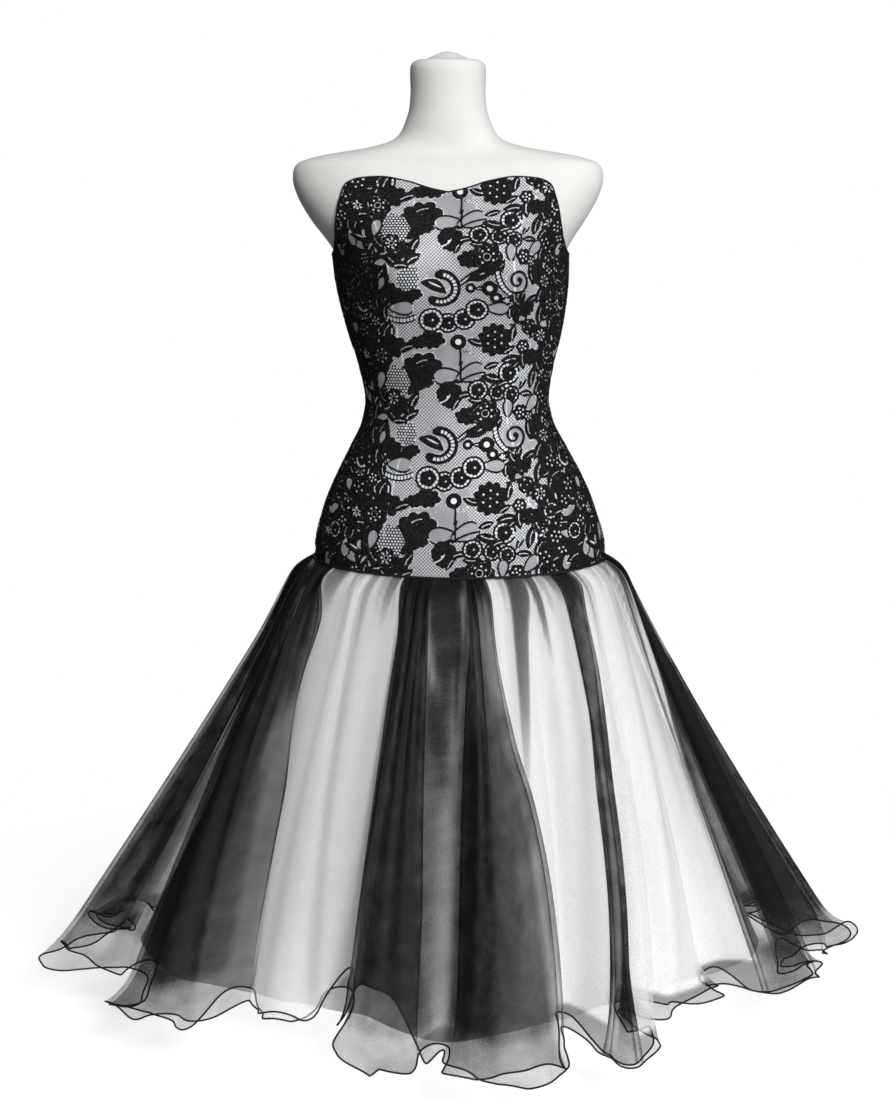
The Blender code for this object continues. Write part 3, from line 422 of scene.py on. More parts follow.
# Each finish: its colour, and the values that its function takes
finishes = {
    "whiteSatin": (satinMaterial, (0.87, 0.89, 0.93), 0.34, 0.80),
    "liningSatin": (satinMaterial, (0.90, 0.90, 0.91), 0.55, 0.95),
    "blackLace": (laceMaterial, (0.0045, 0.0045, 0.005)),
    "blackOrganza": (organzaMaterial, (0.003, 0.003, 0.0033), 0.40, 0.16, 0.012),
    "whiteOrganza": (organzaMaterial, (0.90, 0.90, 0.91), 0.30, 0.06, 0.05),
    "blackGauze": (organzaMaterial, (0.02, 0.02, 0.022), 0.34, 0.15, 0.05),
    "hemThread": (plainFinish, (0.006, 0.006, 0.006), {"Roughness": 0.6, "Specular IOR Level": 0.25},
                  300, 0.4, 0.0003),
    "formPlaster": (plainFinish, (0.75, 0.745, 0.725), {"Roughness": 0.62, "Specular IOR Level": 0.3},
                    9, 0.93, 0.0004),
    "standSteel": (plainFinish, (0.56, 0.56, 0.58), {"Roughness": 0.32, "Metallic": 1.0}, 40, 0.85, 0.00005),
    "zipTape": (plainFinish, (0.02, 0.02, 0.021), {"Roughness": 0.8, "Sheen Weight": 0.3}, 500, 0.5, 0.0001),
    "zipMetal": (plainFinish, (0.42, 0.42, 0.44), {"Roughness": 0.28, "Metallic": 1.0}, 160, 0.8, 0.00003),
}
finish = {name: make(name, *values) for name, (make, *values) in finishes.items()}
print("the finishes are made")

# The form: neck, shoulders and torso in one smooth shell, and the cap on its neck
form = {
    "columns": 176, "spacing": 0.0055, "capRadius": 0.034, "capHeight": 0.0105, "capSeat": 0.0003,
    "capRings": 18, "capColumns": 96,
}


def figureLevels(spacing):
    # heights spaced evenly along the outline of the side, so that the flat shoulders get enough rows
    level = np.linspace(figureRows[0, 0], figureRows[-1, 0], 4000)
    wide = through(level, figureRows[:, 0], figureRows[:, 1])
    length = np.concatenate([[0], np.cumsum(np.hypot(np.diff(level), np.diff(wide)))])
    return np.interp(np.linspace(0, length[-1], int(length[-1] / spacing)), length, level)


def makeForm():
    # the section at every level, the end rings drawn in to a point, and the neck's cap
    angle = np.linspace(-180, 180, form["columns"], endpoint=False)[None, :]
    grid = figureSurface(angle, figureLevels(form["spacing"])[:, None])
    shares = np.linspace(0.75, 0, 4)[:, None, None]
    foot, top = (ring.mean(0) + share * (ring - ring.mean(0))
                 for ring, share in ((grid[0], shares[::-1]), (grid[-1], shares)))
    rows = np.concatenate([foot, grid, top])
    # the cap's profile: height (1 - s squared) squared for a share s of the radius, closed flat underneath
    share = np.linspace(0, 1, form["capRings"])
    radius = np.concatenate([form["capRadius"] * share, [form["capRadius"] * 0.5, 0]])
    rise = np.concatenate([form["capHeight"] * (1 - share**2) ** 2, [0, 0]])
    turn = np.linspace(0, 2 * np.pi, form["capColumns"], endpoint=False)[None, :]
    height = (rise + figureRows[-1, 0] + form["capSeat"])[:, None] + 0 * turn
    rings = np.stack([radius[:, None] * np.cos(turn), radius[:, None] * np.sin(turn), height], -1)
    for name, node, points, flip in (("formTorso", "form_torso", rows, False),
                                     ("formNeckCap", "form_neck_cap", rings, True)):
        faces = gridFaces(*points.shape[:2], flip=flip, closed=True)
        piece = addMesh(name, points, faces, finish["formPlaster"])
        joinPoles(piece)
        finishPiece(piece, [node])


makeForm()
coverNodes(finish["standSteel"], "stand_flange", "stand_pole", "stand_base")
print("the form is made")

# The bodice: five satin panels, and the lace that lies on them
satinFace = bodice["clearance"] + bodice["satin"]
laceOut = satinFace + bodice["laceClearance"]


def bodiceGrid(start, end, out):
    # even rows from the waist seam to the neckline: the points, and each one's angle and height
    angle = np.linspace(start, end, bodice["columns"] + 1)[None, :]
    share = np.linspace(0, 1, bodice["rows"] + 1)[:, None]
    height = waistSeam(angle) * (1 - share) + neckline(angle) * share
    return figureMovedOut(angle, height, out), angle + 0 * height, height


def makeSatin():
    # each panel's surface, mapped flat by a radius times its angle, and by its height
    for name, start, end in panels:
        grid, angle, height = bodiceGrid(start, end, satinFace)
        uv = np.stack([np.radians(angle) * bodice["mapRadius"], height], axis=-1)
        piece, cut, area = addSheet("satin_" + name, grid, finish["whiteSatin"], "bodice_" + name,
                                    "white_satin", uv=uv)


makeSatin()
print("the satin panels are made")

# The lace. One repeat is drawn as fields in millimetres: thread is positive on thread, gauze where the
# ground is a close smooth weave, and bare where there is no ground at all. Elsewhere the ground is net.
# Places are measured from the middle of the crescent, to the right and up
lace = {
    "wide": 330.0, "tall": 205.3, "cell": 0.5, "crescentX": -14.0, "crescentY": 390.6, "lean": 0.054,
    "netPitch": 4.5, "netThread": 0.65, "netSink": 0.00025, "gauzeSink": 0.0004, "relief": 0.00045,
    "gauzeStep": 2.0, "sideStep": 1.15, "steps": {"front": 1.0, "back_left": 1.4, "back_right": 1.4},
    "left": -90.0, "denseFrom": 137.0, "denseTo": 300.0, "denseLeft": -72.0, "degree": 2.3, "zipSpare": 3.2,
    "mapLow": 0.560, "mapHigh": 1.085, "mapAngle": 25, "scatterRows": 13, "scatterColumns": 8,
    "scatterStep": 15.2, "netColumns": 180, "netRows": 260,
}
# kind, x, y, size, turn. Each is laid over the ones before it
motifs = (
    ("gauze", -8, 2, 20, 0), ("gauze", 6, -82, 25, 0), ("gauze", 34, -70, 15, 0),
    ("gauze", -22, -84, 13, 0), ("gauze", 118, 0, 14, 0), ("gauze", 28, 104, 18, 0),
    ("gauze", 124, -76, 8, 0), ("gauze", 4, 104, 12, 0), ("net", -36, -56, 15, 0),
    ("cloud", -26, 97, 21, 20), ("cloud", -38, 76, 14, 0), ("cloud", -20, 80, 9, 0),
    ("leaf", -88, 84, 20, 70), ("leaf", -80, 101, 18, 20), ("leaf", -80, 58, 17, 130),
    ("cloud", -50, 49, 13, 0), ("leaf", -70, 45, 13, 200), ("leaf", -34, 56, 13, 60),
    ("honey", -57, 79, 19, 0), ("petal", -82, 80, 12, 75), ("petal", 9, 88, 17, 185),
    ("petal", 38, 91, 19, 22), ("stem", 4, 79, 22, 2), ("stem", 22, 79, 36, 22), ("stem", 26, 84, 22, 88),
    ("cloud", -12, -70, 13, 0), ("cloud", -29, -74, 9, 0), ("eyelet", 22, -73, 9, 0),
    ("stem", 24, -81, 22, -90), ("drop", 7, 60, 20, 35), ("cloud", 36, 37, 12, 0), ("leaf", 50, 18, 17, 25),
    ("rose", 58, 40, 18, 0), ("stem", 25, 9, 34, 30), ("stem", 26, 4, 42, 20), ("leaf", 31, 64, 10, 10),
    ("ring", 48, 70, 12.5, 0), ("ring", 73, 67, 11, 0), ("ring", 92, 63, 11, 0), ("leaf", 66, 84, 14, 165),
    ("leaf", 64, 101, 10, 20), ("ring", 88, 91, 14, 0), ("leaf", 108, 78, 9, 60), ("net", 108, 88, 8, 0),
    ("leaf", 122, 84, 14, 80), ("leaf", 134, 72, 12, 60), ("leaf", 130, 101, 14, 110),
    ("leaf", 114, 64, 10, 0), ("petal", 88, 45, 11, 88), ("petal", 124, 50, 13, 48),
    ("dots", 106, 40, 10, 0), ("dots", 119, 34, 8, 0), ("cloud", 130, 20, 14, 60), ("rose", 144, 8, 13, 0),
    ("leaf", 74, 26, 11, 60), ("leaf", 136, 44, 12, 75), ("eyelet", 37, 0, 6, 0), ("leaf", 50, 0, 7, 0),
    ("eyelet", 61, 0, 9, 0), ("eyelet", 69, -13, 7, 0), ("scroll", 97, 10, 17, 0),
    ("beads", 79, 4, 20, -58), ("dots", 82, -17, 6, 0), ("leaf", 116, -18, 13, 40),
    ("leaf", 103, -12, 11, 75), ("cloud", 98, -30, 13, 80), ("leaf", 86, -34, 9, 90),
    ("petal", 103, -43, 9, 65), ("stem", 88, -51, 34, 8), ("ring", 114, -54, 10, 0),
    ("leaf", 91, -62, 12, 80), ("dots", 106, -80, 9, 0), ("leaf", 123, -60, 12, 50),
    ("cloud", 119, -94, 12, 0), ("leaf", 131, -38, 15, 80), ("leaf", 90, -96, 13, 10),
    ("petal", 70, -28, 14, 0), ("aster", 68, -70, 20, 0), ("leaf", 44, -74, 11, 160),
    ("leaf", 86, -84, 10, 30), ("ring", 9, -48, 12.5, 0), ("ring", -12, -44, 15, 0),
    ("ring", 29, -43, 13.5, 0), ("ring", 45, -30, 14, 0), ("eyeLeaf", -8, 4, 17, -26),
    ("crescent", 0, -1, 25, -14), ("leaf", -60, 34, 15, 150), ("leaf", -38, 37, 13, 30),
    ("leaf", -80, 18, 14, 60), ("cloud", -52, -11, 15, -8), ("cloud", -68, 0, 10, 0),
    ("cloud", -35, -8, 9, 0), ("honey", -42, 13, 15, 0), ("petal", -80, 33, 9, 8), ("petal", -77, 6, 9, 70),
    ("petal", -50, -27, 16, 0), ("beads", -50, -43, 17, 0), ("leaf", -73, -34, 12, 90),
    ("leaf", -72, -58, 14, 60), ("cloud", -64, -80, 16, 0), ("leaf", -44, -80, 13, 20),
    ("rose", -80, -92, 16, 0), ("leaf", -84, -18, 14, 90), ("dots", -86, -46, 9, 0),
    ("leaf", -92, 40, 15, 80), ("leaf", -94, 8, 15, 100), ("rose", -62, 58, 12, 0),
    ("leaf", -52, 30, 11, 0), ("leaf", 94, -18, 10, 120), ("cloud", 110, -30, 10, 40),
    ("leaf", 80, 78, 9, 20), ("leaf", 20, 52, 9, 60), ("cloud", 62, 27, 9, 0), ("leaf", 118, 18, 12, 100),
    ("leaf", 100, 104, 12, 30), ("leaf", 46, 56, 10, 175), ("leaf", 132, -10, 13, 60),
    ("rose", 134, -66, 12, 0), ("leaf", 106, -98, 12, 100), ("leaf", -24, -98, 12, 20),
)


def scattered():
    # the close-set flowers and leaves of the sides, one in each square of a loose grid
    kinds = ("rose", "leaf", "aster", "leaf", "dots", "ring", "leaf", "eyeLeaf", "cloud", "petal")
    table = []
    for row in range(lace["scatterRows"]):
        for column in range(lace["scatterColumns"]):
            x = lace["denseFrom"] + 6 + lace["scatterStep"] * column + 7 * (row % 2) + rng.uniform(-4, 4)
            y = lace["tall"] * (row / lace["scatterRows"] - 0.5) + rng.uniform(-4, 4)
            table.append((kinds[rng.integers(len(kinds))], x, y, rng.uniform(8.5, 15), rng.uniform(0, 360)))
    return table


def wrapped(turn, count):
    # the angle from the middle of the nearest of count equal steps round a circle
    return ((turn * count / (2 * np.pi)) % 1 - 0.5) * 2 * np.pi / count


def solidMotif(kind, p, q, size, away, turn):
    # the thread of a leaf or flower, and its outline
    if kind == "leaf":
        # half width = 0.42 size (1 - (p / size) squared), toothed, with a slit and veins
        body = size * 0.42 * (1 - (p / size) ** 2) * (1 + 0.12 * np.sin(p * 1.9)) - np.abs(q)
        slit = np.where(np.abs(p) < 0.62 * size, np.abs(q + 0.02 * p * p) - 0.65, 9)
        veins = np.abs(((p + 1.1 * np.abs(q)) % 5.5) - 2.7) - 0.5
        return np.minimum(body, np.minimum(slit, np.where((np.abs(q) > 1.5) & (body > 1.4), veins, 9))), body
    if kind == "eyeLeaf":
        body = size * 0.40 * (1 - (p / size) ** 2) - np.abs(q + 0.012 * p * p)
        return np.minimum(body, np.abs(q - 0.6) - 1.3 * np.clip(1 - (p / (0.6 * size)) ** 2, -1, 1)), body
    if kind == "cloud":
        body = size * (0.80 + 0.20 * np.abs(np.cos(4 * turn + 0.6))) - np.hypot(p / 1.25, q * 1.15)
        fold = np.where(body > 2.5, np.abs(q - 0.25 * size * np.sin(p / size * 2.6)) - 0.45, 9)
        return np.minimum(body, np.where(np.abs(p) < 0.6 * size, fold, 9)), body
    if kind == "drop":
        body = size * (0.62 + 0.30 * np.cos(turn) + 0.08 * np.abs(np.cos(5 * turn))) - away * 0.95
        slit = np.where(np.abs(p + 1) < 9, np.abs(np.hypot(p + 2, q - 14) - 17) - 0.9, 9)
        return np.minimum.reduce([body, slit, np.hypot(p - 3, q + 1) - 1.6]), body
    # a lobed disc, size (0.82 + 0.18 |cos(n a)|), with broken rings or slits and a circle of small holes
    lobes, count = {"rose": (3.5, 7), "aster": (5.5, 6), "dots": (3, 5)}[kind]
    body = size * (0.82 + 0.18 * np.abs(np.cos(lobes * turn))) - away
    holes = np.hypot(away - size * 0.45, size * 0.45 * wrapped(turn, count)) - (1.5 if size > 9 else 1.3)
    parts = [body, holes]
    if kind == "rose":
        ring = np.abs(away - size * (0.70 + 0.07 * np.sin(7 * turn))) - 0.55
        parts += [np.where(np.sin(5 * turn + size) > -0.35, ring, 9), np.abs(away - size * 0.22) - 0.6]
    elif kind == "aster":
        slits = away * np.abs(np.sin(5.5 * turn)) / 5.5 * 1.6 - 0.5
        parts += [np.where((away > 0.6 * size) & (away < 0.92 * size), slits, 9), away - 1.3]
    else:
        parts.append(away - 1.4)
    return np.minimum.reduce(parts), body


def motifField(kind, p, q, size):
    # the thread of one motif, the outline that it clears, and the ground left inside it
    away, turn = np.hypot(p, q), np.arctan2(q, p)
    if kind in ("leaf", "eyeLeaf", "cloud", "drop", "rose", "aster", "dots"):
        thread, body = solidMotif(kind, p, q, size, away, turn)
        return thread, body + 0.4, "bare"
    if kind == "ring":
        # an outline, a gap crossed by short threads, and a small lobed flower in the middle
        count = max(9, int(size * 0.95))
        outline = np.minimum(size * (0.97 + 0.03 * np.cos(count * turn)) - away, away - size + 3.1)
        ticks = np.where((away > 0.5 * size) & (away < size), 0.55 - np.abs(away * wrapped(turn, count)), -9)
        flower = size * (0.55 + 0.10 * np.abs(np.cos(2.5 * turn))) - away
        heart = np.hypot(p - 0.12 * size, q) - 0.10 * size
        return np.maximum.reduce([outline, ticks, np.minimum(flower, heart)]), size - away, "bare"
    if kind == "crescent":
        # two bands bent round, with a row of small gaps between them, and a round end to each horn
        outer = np.minimum(size - away, away - size + 4.4)
        inner = np.minimum(size - 9.0 - away, away - size + 12.8)
        ticks = np.where((away > size - 9.5) & (away < size), 0.7 - np.abs(away * wrapped(turn, 24)), -9)
        bent = np.where(np.abs(turn) < 1.95, np.maximum(np.maximum(outer, inner), ticks), -9)
        middle = size - 6.5
        ends = [5.0 - np.hypot(p - middle * math.cos(a), q - middle * math.sin(a)) for a in (-1.98, 1.98)]
        clear = np.where(np.abs(turn) < 1.95, np.minimum(size - away, away - size + 12.8), -9)
        return np.maximum.reduce([bent, *ends]), np.maximum(clear, -9), "bare"
    if kind == "petal":
        # a closed outline, half height 0.8 size sqrt(1 - (p / size) squared), blunt at one end, filled with
        # gauze
        blunt = 0.72 + 0.28 * p / size
        body = size * 0.80 * np.sqrt(np.clip(1 - (p / size) ** 2, 0, 1)) * blunt - np.abs(q)
        body = np.where(np.abs(p) > size, -9, body)
        return 1.25 - np.abs(body), body, "gauze"
    if kind == "eyelet":
        return np.minimum(size - away, away - size * 0.40), size - away, "bare"
    if kind == "honey":
        # round holes in rows, each row set half a step along
        row = np.round(q / 3.7)
        hole = np.hypot((p + 2.1 * (row % 2)) % 4.2 - 2.1, q - 3.7 * row) - 1.55
        rim = size * (0.94 + 0.06 * np.cos(7 * turn)) - np.hypot(p * 1.12, q * 0.95)
        return np.minimum(rim, hole), rim, "bare"
    if kind == "beads":
        # two bent lines with short threads across
        bent = q - 0.014 * (p * p - size * size / 3)
        lines = np.minimum(4.4 - np.abs(bent), np.abs(bent) - 2.5)
        ticks = np.where(np.abs(bent) < 3, 0.6 - np.abs((p % 4.4) - 2.2), -9)
        inside = np.minimum(size - np.abs(p), 4.4 - np.abs(bent))
        return np.minimum(np.maximum(lines, ticks), size - np.abs(p)), inside, "bare"
    if kind == "stem":
        past = np.clip(np.abs(p - size / 2) - size / 2, 0, None)
        return 1.25 - np.hypot(past, q - 0.008 * p * (size - p)), None, None
    if kind == "scroll":
        # a spiral: its distance from the middle shrinks evenly along one and a half turns
        near = np.full_like(p, 99.0)
        for s in np.linspace(0, 1, 60):
            reach, swing = size * (1 - 0.84 * s), -2.1 + s * 2.9 * np.pi
            thick = 2.0 - 0.6 * s if s < 0.93 else 3.2
            near = np.minimum(near, np.hypot(p - reach * np.cos(swing), q - reach * np.sin(swing)) - thick)
        return -near, size * 0.95 - away, "gauze"
    # a patch of plain ground
    return np.full_like(p, -9.0), size * (0.9 + 0.1 * np.sin(4 * turn + size)) - away, kind


def drawRepeat():
    # the sides start as close cloth and the front as net; each motif clears its outline and adds its thread
    cell, rows, columns = lace["cell"], int(lace["tall"] / lace["cell"]), int(lace["wide"] / lace["cell"])
    x = lace["left"] + cell * np.arange(columns)[None, :]
    y = cell * np.arange(rows)[:, None] * (lace["tall"] / (rows * cell)) - lace["tall"] / 2
    swing = 2 * np.pi * y / lace["tall"]
    dense = np.minimum(x - lace["denseFrom"] - 7 * np.sin(3 * swing), lace["denseTo"] - x)
    thread = np.maximum(dense, lace["denseLeft"] + 7 * np.sin(2 * swing + 1) - x)
    grounds = {"gauze": np.full_like(thread, -9.0), "bare": np.full_like(thread, -9.0)}
    for kind, midX, midY, size, turn in (*scattered(), *motifs):
        size = size * (1.0 if kind in ("crescent", "petal", "gauze", "net", "stem", "scroll") else 1.12)
        reach = size * 1.5 + 4
        i, j = (np.arange(int((middle - reach - low) / cell), int((middle + reach - low) / cell))
                for middle, low in ((midX, lace["left"]), (midY, -lace["tall"] / 2)))
        dx, dy = np.meshgrid(lace["left"] + cell * i - midX, cell * j - lace["tall"] / 2 - midY)
        c, s = math.cos(math.radians(turn)), math.sin(math.radians(turn))
        more, clear, ground = motifField(kind, dx * c + dy * s, dy * c - dx * s, size)
        at = np.ix_(j % rows, i % columns)
        if ground:
            thread[at] = np.minimum(thread[at], -clear)
            for name, field in grounds.items():
                field[at] = np.maximum(field[at], clear) if ground == name else np.minimum(field[at], -clear)
        thread[at] = np.maximum(thread[at], more)
    return thread, grounds["gauze"], grounds["bare"]


laceRepeat = drawRepeat()


def between(fields, i, j, s, t, iNext, jNext):
    # tables read at places between their points, by shares s along a row and t down the rows
    return [(field[j, i] * (1 - s) + field[j, iNext] * s) * (1 - t)
            + (field[jNext, i] * (1 - s) + field[jNext, iNext] * s) * t for field in fields]


def laceFields(x, y):
    # the three fields at places in millimetres on the flat map; the repeat wraps round
    y = y - lace["crescentY"]
    x = x - lace["crescentX"] - lace["lean"] * y
    rows, columns = laceRepeat[0].shape
    u, v = (x - lace["left"]) * columns / lace["wide"], (y + lace["tall"] / 2) * rows / lace["tall"]
    i, j = np.floor(u).astype(int), np.floor(v).astype(int)
    return between(laceRepeat, i % columns, j % rows, u - i, v - j, (i + 1) % columns, (j + 1) % rows)


mapCells = 240  # rows and steps of the flat map


def flatMap():
    # tables from flat cloth to the figure: height against length up the cloth, measured beside the front's
    # middle, and angle against the share of the way round at each height
    height = np.linspace(lace["mapLow"], lace["mapHigh"], mapCells)
    up = figureMovedOut(lace["mapAngle"], height, satinFace)
    length = np.concatenate([[0], np.cumsum(np.linalg.norm(np.diff(up, axis=0), axis=1))])
    angle = np.linspace(0, 180, 181)
    grid = figureMovedOut(angle[None, :], height[:, None], satinFace)
    steps = np.linalg.norm(np.diff(grid, axis=1), axis=-1)
    girth = np.concatenate([np.zeros((mapCells, 1)), np.cumsum(steps, axis=1)], 1)
    shares = np.linspace(0, 1, mapCells + 1)
    table = np.stack([np.interp(shares, line / line[-1], angle) for line in girth])
    return height, length, girth[:, -1], table


mapHeight, mapLength, mapHalfGirth, mapAngle = flatMap()


def onFigure(x, y):
    # the angle and height of a flat place, in millimetres from the front's middle and the map's foot
    x, y = x / 1000, y / 1000
    height = np.interp(y, mapLength, mapHeight)
    level = np.clip((height - mapHeight[0]) / (mapHeight[1] - mapHeight[0]), 0, mapCells - 1.001)
    k = level.astype(int)
    t = level - k
    half = mapHalfGirth[k] * (1 - t) + mapHalfGirth[k + 1] * t
    share = np.clip(np.abs(x) / half, 0, 1) * mapCells
    m = np.minimum(share.astype(int), mapCells - 1)
    angle = between([mapAngle], m, k, share - m, t, m + 1, k + 1)[0]
    return np.sign(x) * angle, height


def inPanel(angle, height, start, end):
    # how far inside a panel's outline a place is, in millimetres. The back panels stop short of the zip
    left = (angle - start) * lace["degree"] - (lace["zipSpare"] if start == -180 else 0)
    right = (end - angle) * lace["degree"] - (lace["zipSpare"] if end == 180 else 0)
    below, above = neckline(angle) - height, height - waistSeam(angle)
    return np.minimum.reduce([left, right, below * 1000, above * 1000])


def panelPlaces(start, end, step):
    # a grid of flat places, in millimetres, that covers one panel
    low, high = max(start, -179.9), min(end, 179.9)
    shares = np.linspace(0, 1, mapCells + 1)
    corners = [np.sign(a) * float(np.interp(abs(a), mapAngle[k], shares) * mapHalfGirth[k])
               for a in (low, high) for k in range(0, mapCells, 12)]
    return np.meshgrid(np.arange(min(corners) * 1000 - 3, max(corners) * 1000 + 3, step),
                       np.arange(6, mapLength[-1] * 1000, step))


def makeLacePanel(start, end, step):
    # a grid over the flat panel keeps its cells on thread, and its edge points are drawn onto the outline:
    # place minus field times slope over slope squared
    x, y = panelPlaces(start, end, step)
    field = np.minimum(laceFields(x, y)[0], inPanel(*onFigure(x, y), start, end))
    slopeY, slopeX = np.gradient(field, step)
    size = np.maximum(slopeX**2 + slopeY**2, 0.35)
    quads = gridFaces(*x.shape)
    flat = field.ravel()
    kept = quads[flat[quads].mean(axis=1) > 0]
    uses = np.bincount(kept.ravel(), minlength=flat.size)
    edge = ((uses > 0) & (uses < 4)).reshape(x.shape)
    shift = np.where(edge, -field, 0) / size
    used, faces = np.unique(kept, return_inverse=True)
    px, py = ((place + np.clip(shift * slope, -0.62 * step, 0.62 * step)).ravel()[used]
              for place, slope in ((x, slopeX), (y, slopeY)))
    rise = lace["relief"] * np.clip(flat[used] / 1.6, 0, 1)
    points = figureMovedOut(*onFigure(px, py), laceOut + rise)
    return points, faces.reshape(-1, 4), np.stack([px, py], axis=-1) / 1000


def makeNet(start, end):
    # a diamond ground: short flat threads between the points of a slanted lattice, two families of them
    pitch, half = lace["netPitch"], lace["netPitch"] / 2
    i, j = np.meshgrid(np.arange(lace["netColumns"]) - lace["netColumns"] // 2, np.arange(lace["netRows"]))
    nodeX, nodeY = (i + 0.5 * (j % 2)) * pitch, j * half
    pieces = []
    for side in (-1, 1):
        along = np.array([side * half, half]) / math.hypot(half, half)
        middle = np.stack([nodeX + side * half / 2, nodeY + half / 2], axis=-1).reshape(-1, 2)
        thread, gauze, bare = laceFields(middle[:, 0], middle[:, 1])
        inside = inPanel(*onFigure(middle[:, 0], middle[:, 1]), start, end)
        middle = middle[(inside > 0.9) & (thread < 0.5) & (gauze < 0) & (bare < 0)]
        reach = along * math.hypot(half, half) * 0.5
        across = np.array([-along[1], along[0]]) * lace["netThread"] / 2
        pieces.append(np.stack([middle - reach - across, middle + reach - across,
                                middle + reach + across, middle - reach + across], axis=1))
    corners = np.concatenate(pieces).reshape(-1, 2)
    angle, height = onFigure(corners[:, 0], corners[:, 1])
    points = figureMovedOut(angle, height, laceOut - lace["netSink"])
    faces = np.arange(len(points)).reshape(-1, 4)
    cross = np.cross(points[faces[:, 1]] - points[faces[:, 0]], points[faces[:, 3]] - points[faces[:, 0]])
    wrong = (cross[:, :2] * roundTheFigure(angle[::4])).sum(axis=1) < 0
    faces[wrong] = faces[wrong][:, ::-1]
    return points, faces, corners / 1000


def makeGauze(start, end):
    # the close weave inside the petals: the cells of a coarser grid where its field is positive, tucked
    # under the thread round it
    x, y = panelPlaces(start, end, lace["gauzeStep"])
    thread, gauze, _ = laceFields(x, y)
    angle, height = onFigure(x, y)
    field = np.minimum(gauze + 0.6, inPanel(angle, height, start, end))
    quads = gridFaces(*x.shape)
    kept = quads[(field.ravel()[quads].min(axis=1) > -0.3) & (thread.ravel()[quads].min(axis=1) < 0.6)]
    used, faces = np.unique(kept, return_inverse=True)
    angle, height, x, y = (part.ravel()[used] for part in (angle, height, x, y))
    points = figureMovedOut(angle, height, laceOut - lace["gauzeSink"])
    return points, faces.reshape(-1, 4), np.stack([x, y], axis=-1) / 1000


def makeLace():
    # each panel's motifs, net and gauze, joined as one piece
    for name, start, end in panels:
        step = lace["steps"].get(name, lace["sideStep"])
        layers = (makeLacePanel(start, end, step), makeNet(start, end), makeGauze(start, end))
        before = np.cumsum([0] + [len(points) for points, _, _ in layers])
        points, uv = (np.concatenate([layer[k] for layer in layers]) for k in (0, 2))
        faces = np.concatenate([layer[1] + first for layer, first in zip(layers, before)])
        piece = addMesh("open_lace_" + name, points, faces, finish["blackLace"],
                        values={"fold": np.ones(len(points))}, uv=uv)
        piece.data.materials.append(finish["blackGauze"])
        thread, net, gauze = (len(layer[1]) for layer in layers)
        number = np.repeat(np.array([0, 1], np.int32), (thread + net, gauze))
        piece.data.polygons.foreach_set("material_index", number)
        finishPiece(piece, ["lace_" + name])


makeLace()
print("the lace is made")

# The skirt, as in the solids but finer. Flutes: name, crest angle, radius, half width, lift and place in the
# waist seam, then the same for the valley that follows
skirt = {
    "hem": 0.050, "topDrop": 0.0009, "topOut": 0.0071, "gather": 0.0036, "gatherFade": 0.22,
    "gatherAtSeam": 0.0016, "fineGather": 0.0022, "fineFade": 0.07, "slowFold": 0.0024, "grownBy": 0.03,
    "slowBy": 0.3, "creasesAndShade": 190, "puff": 0.020, "puffShare": 0.025, "flarePower": 1.12, "gapTop": 0.0015,
    "gapHem": 0.0060, "curlFrom": 0.895, "curlWide": 0.064, "curlLean": 0.30, "curlTurn": 1.20,
    "curlSway": 0.004, "curlSpacing": 0.150, "gatherSpacing": 0.078, "columnStep": 0.0041,
    "seamShift": 0.006, "flatLength": 0.62, "hemWire": 0.0012, "wireStep": 0.0024, "wireSides": 5,
}
flutes = (
    ("back_centre", -172, 0.400, 0.045, 0.003, -174, -161, 0.335, 0.010, -166),
    ("back_left", -150, 0.408, 0.045, 0.003, -158, -139, 0.345, 0.012, -150),
    ("back_left_side", -128, 0.432, 0.048, 0.003, -142, -116, 0.375, 0.012, -133),
    ("left_rear", -104, 0.492, 0.043, 0.004, -123, -93, 0.440, 0.015, -111),
    ("left_side", -82, 0.521, 0.055, 0.018, -98, -66, 0.425, 0.015, -85),
    ("left_front", -53, 0.495, 0.055, 0.005, -70, -42, 0.370, 0.020, -55),
    ("left_white", -31, 0.394, 0.045, 0.018, -37, -20, 0.364, 0.060, -21),
    ("front_left", -9.5, 0.490, 0.052, 0.003, -13, -1, 0.440, 0.012, -3),
    ("front_right", 8.8, 0.500, 0.066, 0.003, 4, 20.5, 0.395, 0.020, 20),
    ("front_fold", 27.5, 0.492, 0.027, 0.005, 41, 34.5, 0.378, 0.025, 50),
    ("right_white", 45, 0.412, 0.050, 0.020, 60, 56, 0.390, 0.022, 69),
    ("right_front", 68, 0.505, 0.046, 0.015, 81, 80, 0.445, 0.015, 92),
    ("right_side", 91, 0.535, 0.045, 0.005, 103, 102, 0.420, 0.012, 113),
    ("right_rear", 114, 0.462, 0.048, 0.003, 124, 126, 0.370, 0.012, 134),
    ("back_right_side", 138, 0.420, 0.045, 0.003, 144, 149, 0.340, 0.010, 154),
    ("back_right", 161, 0.400, 0.044, 0.003, 165, 173, 0.330, 0.010, 175),
)
outerGores = (
    ("black", "left_rear", "valley"), ("white", "left_front", "valley"), ("black", "left_white", "valley"),
    ("white", "front_right", "right_flank"), ("black", "front_fold", "left_flank"),
    ("white", "front_fold", "right_flank"), ("black", "right_front", "left_flank"),
    ("white", "right_side", "valley"), ("black", "right_rear", "valley"),
    ("white", "back_right_side", "valley"), ("black", "back_right", "valley"),
    ("white", "back_centre", "valley"), ("black", "back_left", "valley"),
    ("white", "back_left_side", "valley"),
)
innerGores = outerGores[:3] + (
    ("white", "front_left", "right_flank"), ("black", "front_right", "left_flank")) + outerGores[3:]


